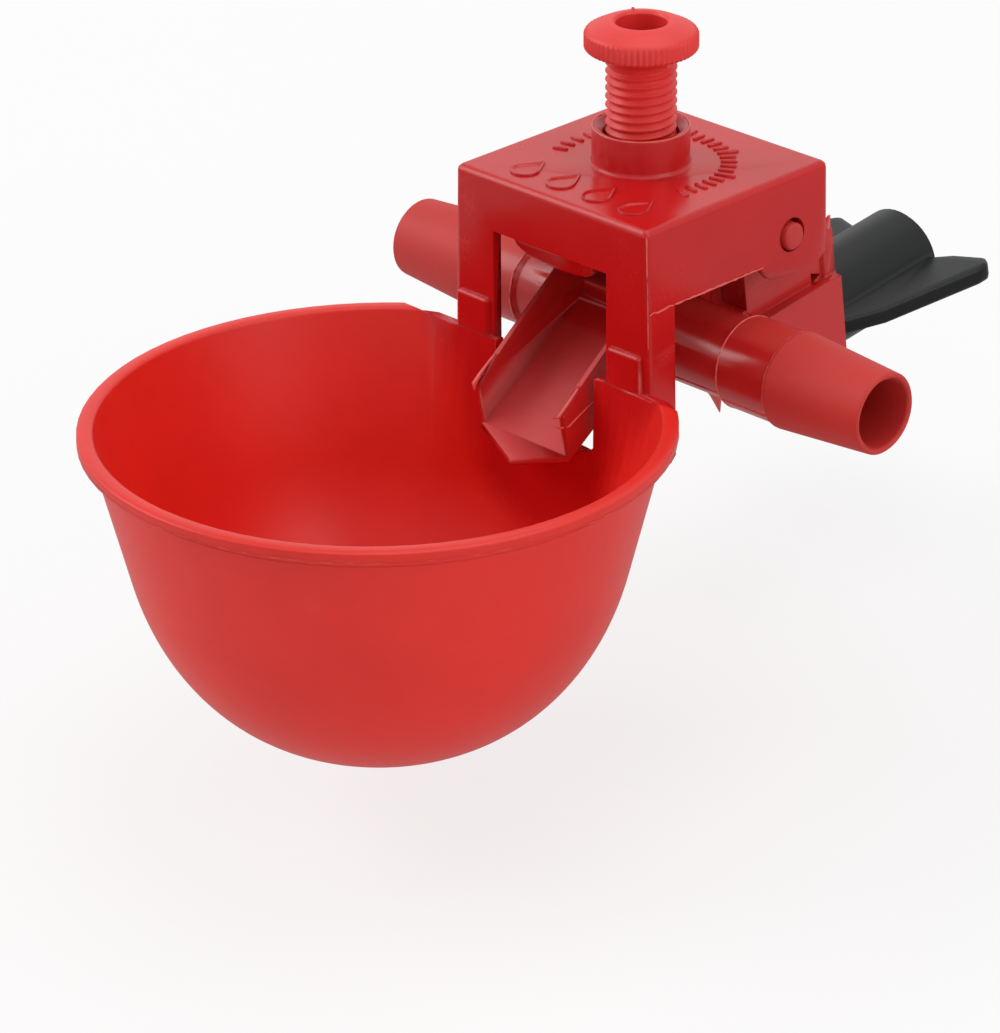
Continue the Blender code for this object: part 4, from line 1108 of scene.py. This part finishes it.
class DRINKINGCUP_OT_stage(bpy.types.Operator):
    """Set the pale floor, the soft studio lamps and the camera"""

    bl_idname = "drinkingcup.stage"
    bl_label = "Add Stage"

    def execute(self, context):
        size = context.scene.drinking_cup_stage
        start_fresh()
        self.lay_floor(context, size)
        self.light_sky(context, size)
        for name, place, width, power in LAMPS:
            self.hang_lamp(context, name, Vector(place), width, power)
        self.set_camera(context, size)
        context.scene.view_settings.view_transform = "Standard"
        return {"FINISHED"}

    def lay_floor(self, context, size):
        low = cad_box[0][2] - size.floor_gap
        bpy.ops.mesh.primitive_plane_add(size=30.0, location=(0, 0, low))
        floor = context.object
        floor.name = "floor"
        fix_place()
        paper = bpy.data.materials.new("Paper White")
        paper.use_nodes = True
        nodes, links = paper.node_tree.nodes, paper.node_tree.links
        shader = nodes["Principled BSDF"]
        shader.inputs["Base Color"].default_value = (0.9, 0.9, 0.9, 1)
        shader.inputs["Roughness"].default_value = 0.9
        shader.inputs["Specular IOR Level"].default_value = 0.1
        glow = nodes.new("ShaderNodeEmission")
        path = nodes.new("ShaderNodeLightPath")
        glossy = path.outputs["Is Glossy Ray"]
        dim = map_range(nodes, links, glossy, (0.0, 1.0), (1.0, size.paper_in_gloss))
        links.new(dim, glow.inputs["Strength"])
        blend = nodes.new("ShaderNodeMixShader")
        links.new(self.seen(nodes, links, size.paper_glow), blend.inputs["Fac"])
        links.new(shader.outputs["BSDF"], blend.inputs[1])
        links.new(glow.outputs["Emission"], blend.inputs[2])
        links.new(blend.outputs["Shader"], nodes["Material Output"].inputs["Surface"])
        floor.data.materials.append(paper)

    def light_sky(self, context, size):
        world = bpy.data.worlds.new("Studio")
        context.scene.world = world
        world.use_nodes = True
        nodes, links = world.node_tree.nodes, world.node_tree.links
        sky = nodes["Background"]
        sky.inputs["Color"].default_value = (1, 1, 1, 1)
        seen = self.seen(nodes, links, 1.0)
        power = map_range(nodes, links, seen, (0.0, 1.0), (size.sky_light, 1.0))
        links.new(power, sky.inputs["Strength"])

    def hang_lamp(self, context, name, place, width, power):
        data = bpy.data.lights.new(name, "AREA")
        data.shape = "RECTANGLE"
        data.size = width
        data.size_y = width
        data.energy = power
        lamp = bpy.data.objects.new(name, data)
        context.scene.collection.objects.link(lamp)
        lamp.location = place
        lamp.rotation_euler = (LAMP_AIM - place).to_track_quat("-Z", "Y").to_euler()

    def set_camera(self, context, size):
        forward = -Vector(
            (
                math.sin(AZIMUTH) * math.cos(ELEVATION),
                -math.cos(AZIMUTH) * math.cos(ELEVATION),
                math.sin(ELEVATION),
            )
        )
        right = Vector((math.cos(AZIMUTH), math.sin(AZIMUTH), 0))
        up = right.cross(forward)
        across = math.cos(ROLL) * right + math.sin(ROLL) * up
        rise = -math.sin(ROLL) * right + math.cos(ROLL) * up
        place = TARGET - forward * DISTANCE
        data = bpy.data.cameras.new("camera")
        data.lens = size.lens
        data.sensor_width = 36
        data.sensor_fit = "HORIZONTAL"
        data.shift_x = SHIFT_X
        data.shift_y = SHIFT_Y
        data.clip_start = 0.01
        camera = bpy.data.objects.new("camera", data)
        context.scene.collection.objects.link(camera)
        turn = Matrix((across, rise, -forward)).transposed().to_4x4()
        camera.matrix_world = Matrix.Translation(place) @ turn
        context.scene.camera = camera

    def seen(self, nodes, links, share):
        """A share for rays that are seen directly, in gloss or through glass, and none for the others."""
        path = nodes.new("ShaderNodeLightPath")
        rays = path.outputs
        first = math_node(nodes, links, "MAXIMUM", rays["Is Camera Ray"], rays["Is Glossy Ray"])
        seen = math_node(nodes, links, "MAXIMUM", first, rays["Is Transmission Ray"])
        return math_node(nodes, links, "MULTIPLY", seen, share)


class DRINKINGCUP_PT_panel(bpy.types.Panel):
    bl_label = "Drinking Cup"
    bl_space_type = "VIEW_3D"
    bl_region_type = "UI"
    bl_category = "Drinking Cup"

    def draw(self, context):
        for operator in OPERATORS:
            self.layout.operator(operator.bl_idname)
        for group in SETTINGS:
            box = self.layout.box()
            settings = getattr(context.scene, group)
            for name in settings.bl_rna.properties.keys():
                if name not in ("rna_type", "name"):
                    box.prop(settings, name)


OPERATORS = (
    DRINKINGCUP_OT_finishes,
    DRINKINGCUP_OT_mouldings,
    DRINKINGCUP_OT_screw,
    DRINKINGCUP_OT_bowl,
    DRINKINGCUP_OT_spring,
    DRINKINGCUP_OT_stud_thread,
    DRINKINGCUP_OT_marks,
    DRINKINGCUP_OT_flash,
    DRINKINGCUP_OT_stage,
)
SETTINGS = {
    "drinking_cup_edges": EdgeSettings,
    "drinking_cup_screw": ScrewSettings,
    "drinking_cup_bowl": BowlSettings,
    "drinking_cup_spring": SpringSettings,
    "drinking_cup_pocket": PocketSettings,
    "drinking_cup_stud": StudSettings,
    "drinking_cup_marks": MarkSettings,
    "drinking_cup_flash": FlashSettings,
    "drinking_cup_finish": FinishSettings,
    "drinking_cup_stage": StageSettings,
}


def register():
    for name, group in SETTINGS.items():
        bpy.utils.register_class(group)
        setattr(bpy.types.Scene, name, PointerProperty(type=group))
    for operator in OPERATORS:
        bpy.utils.register_class(operator)
    bpy.utils.register_class(DRINKINGCUP_PT_panel)


def unregister():
    bpy.utils.unregister_class(DRINKINGCUP_PT_panel)
    for operator in reversed(OPERATORS):
        bpy.utils.unregister_class(operator)
    for name, group in SETTINGS.items():
        delattr(bpy.types.Scene, name)
        bpy.utils.unregister_class(group)


def main():
    register()
    bpy.ops.drinkingcup.finishes()
    bpy.ops.drinkingcup.mouldings()
    bpy.ops.drinkingcup.screw()
    bpy.ops.drinkingcup.bowl()
    bpy.ops.drinkingcup.spring()
    bpy.ops.drinkingcup.stud_thread()
    bpy.ops.drinkingcup.marks()
    bpy.ops.drinkingcup.flash()
    bpy.ops.drinkingcup.stage()


if __name__ == "__main__":
    main()
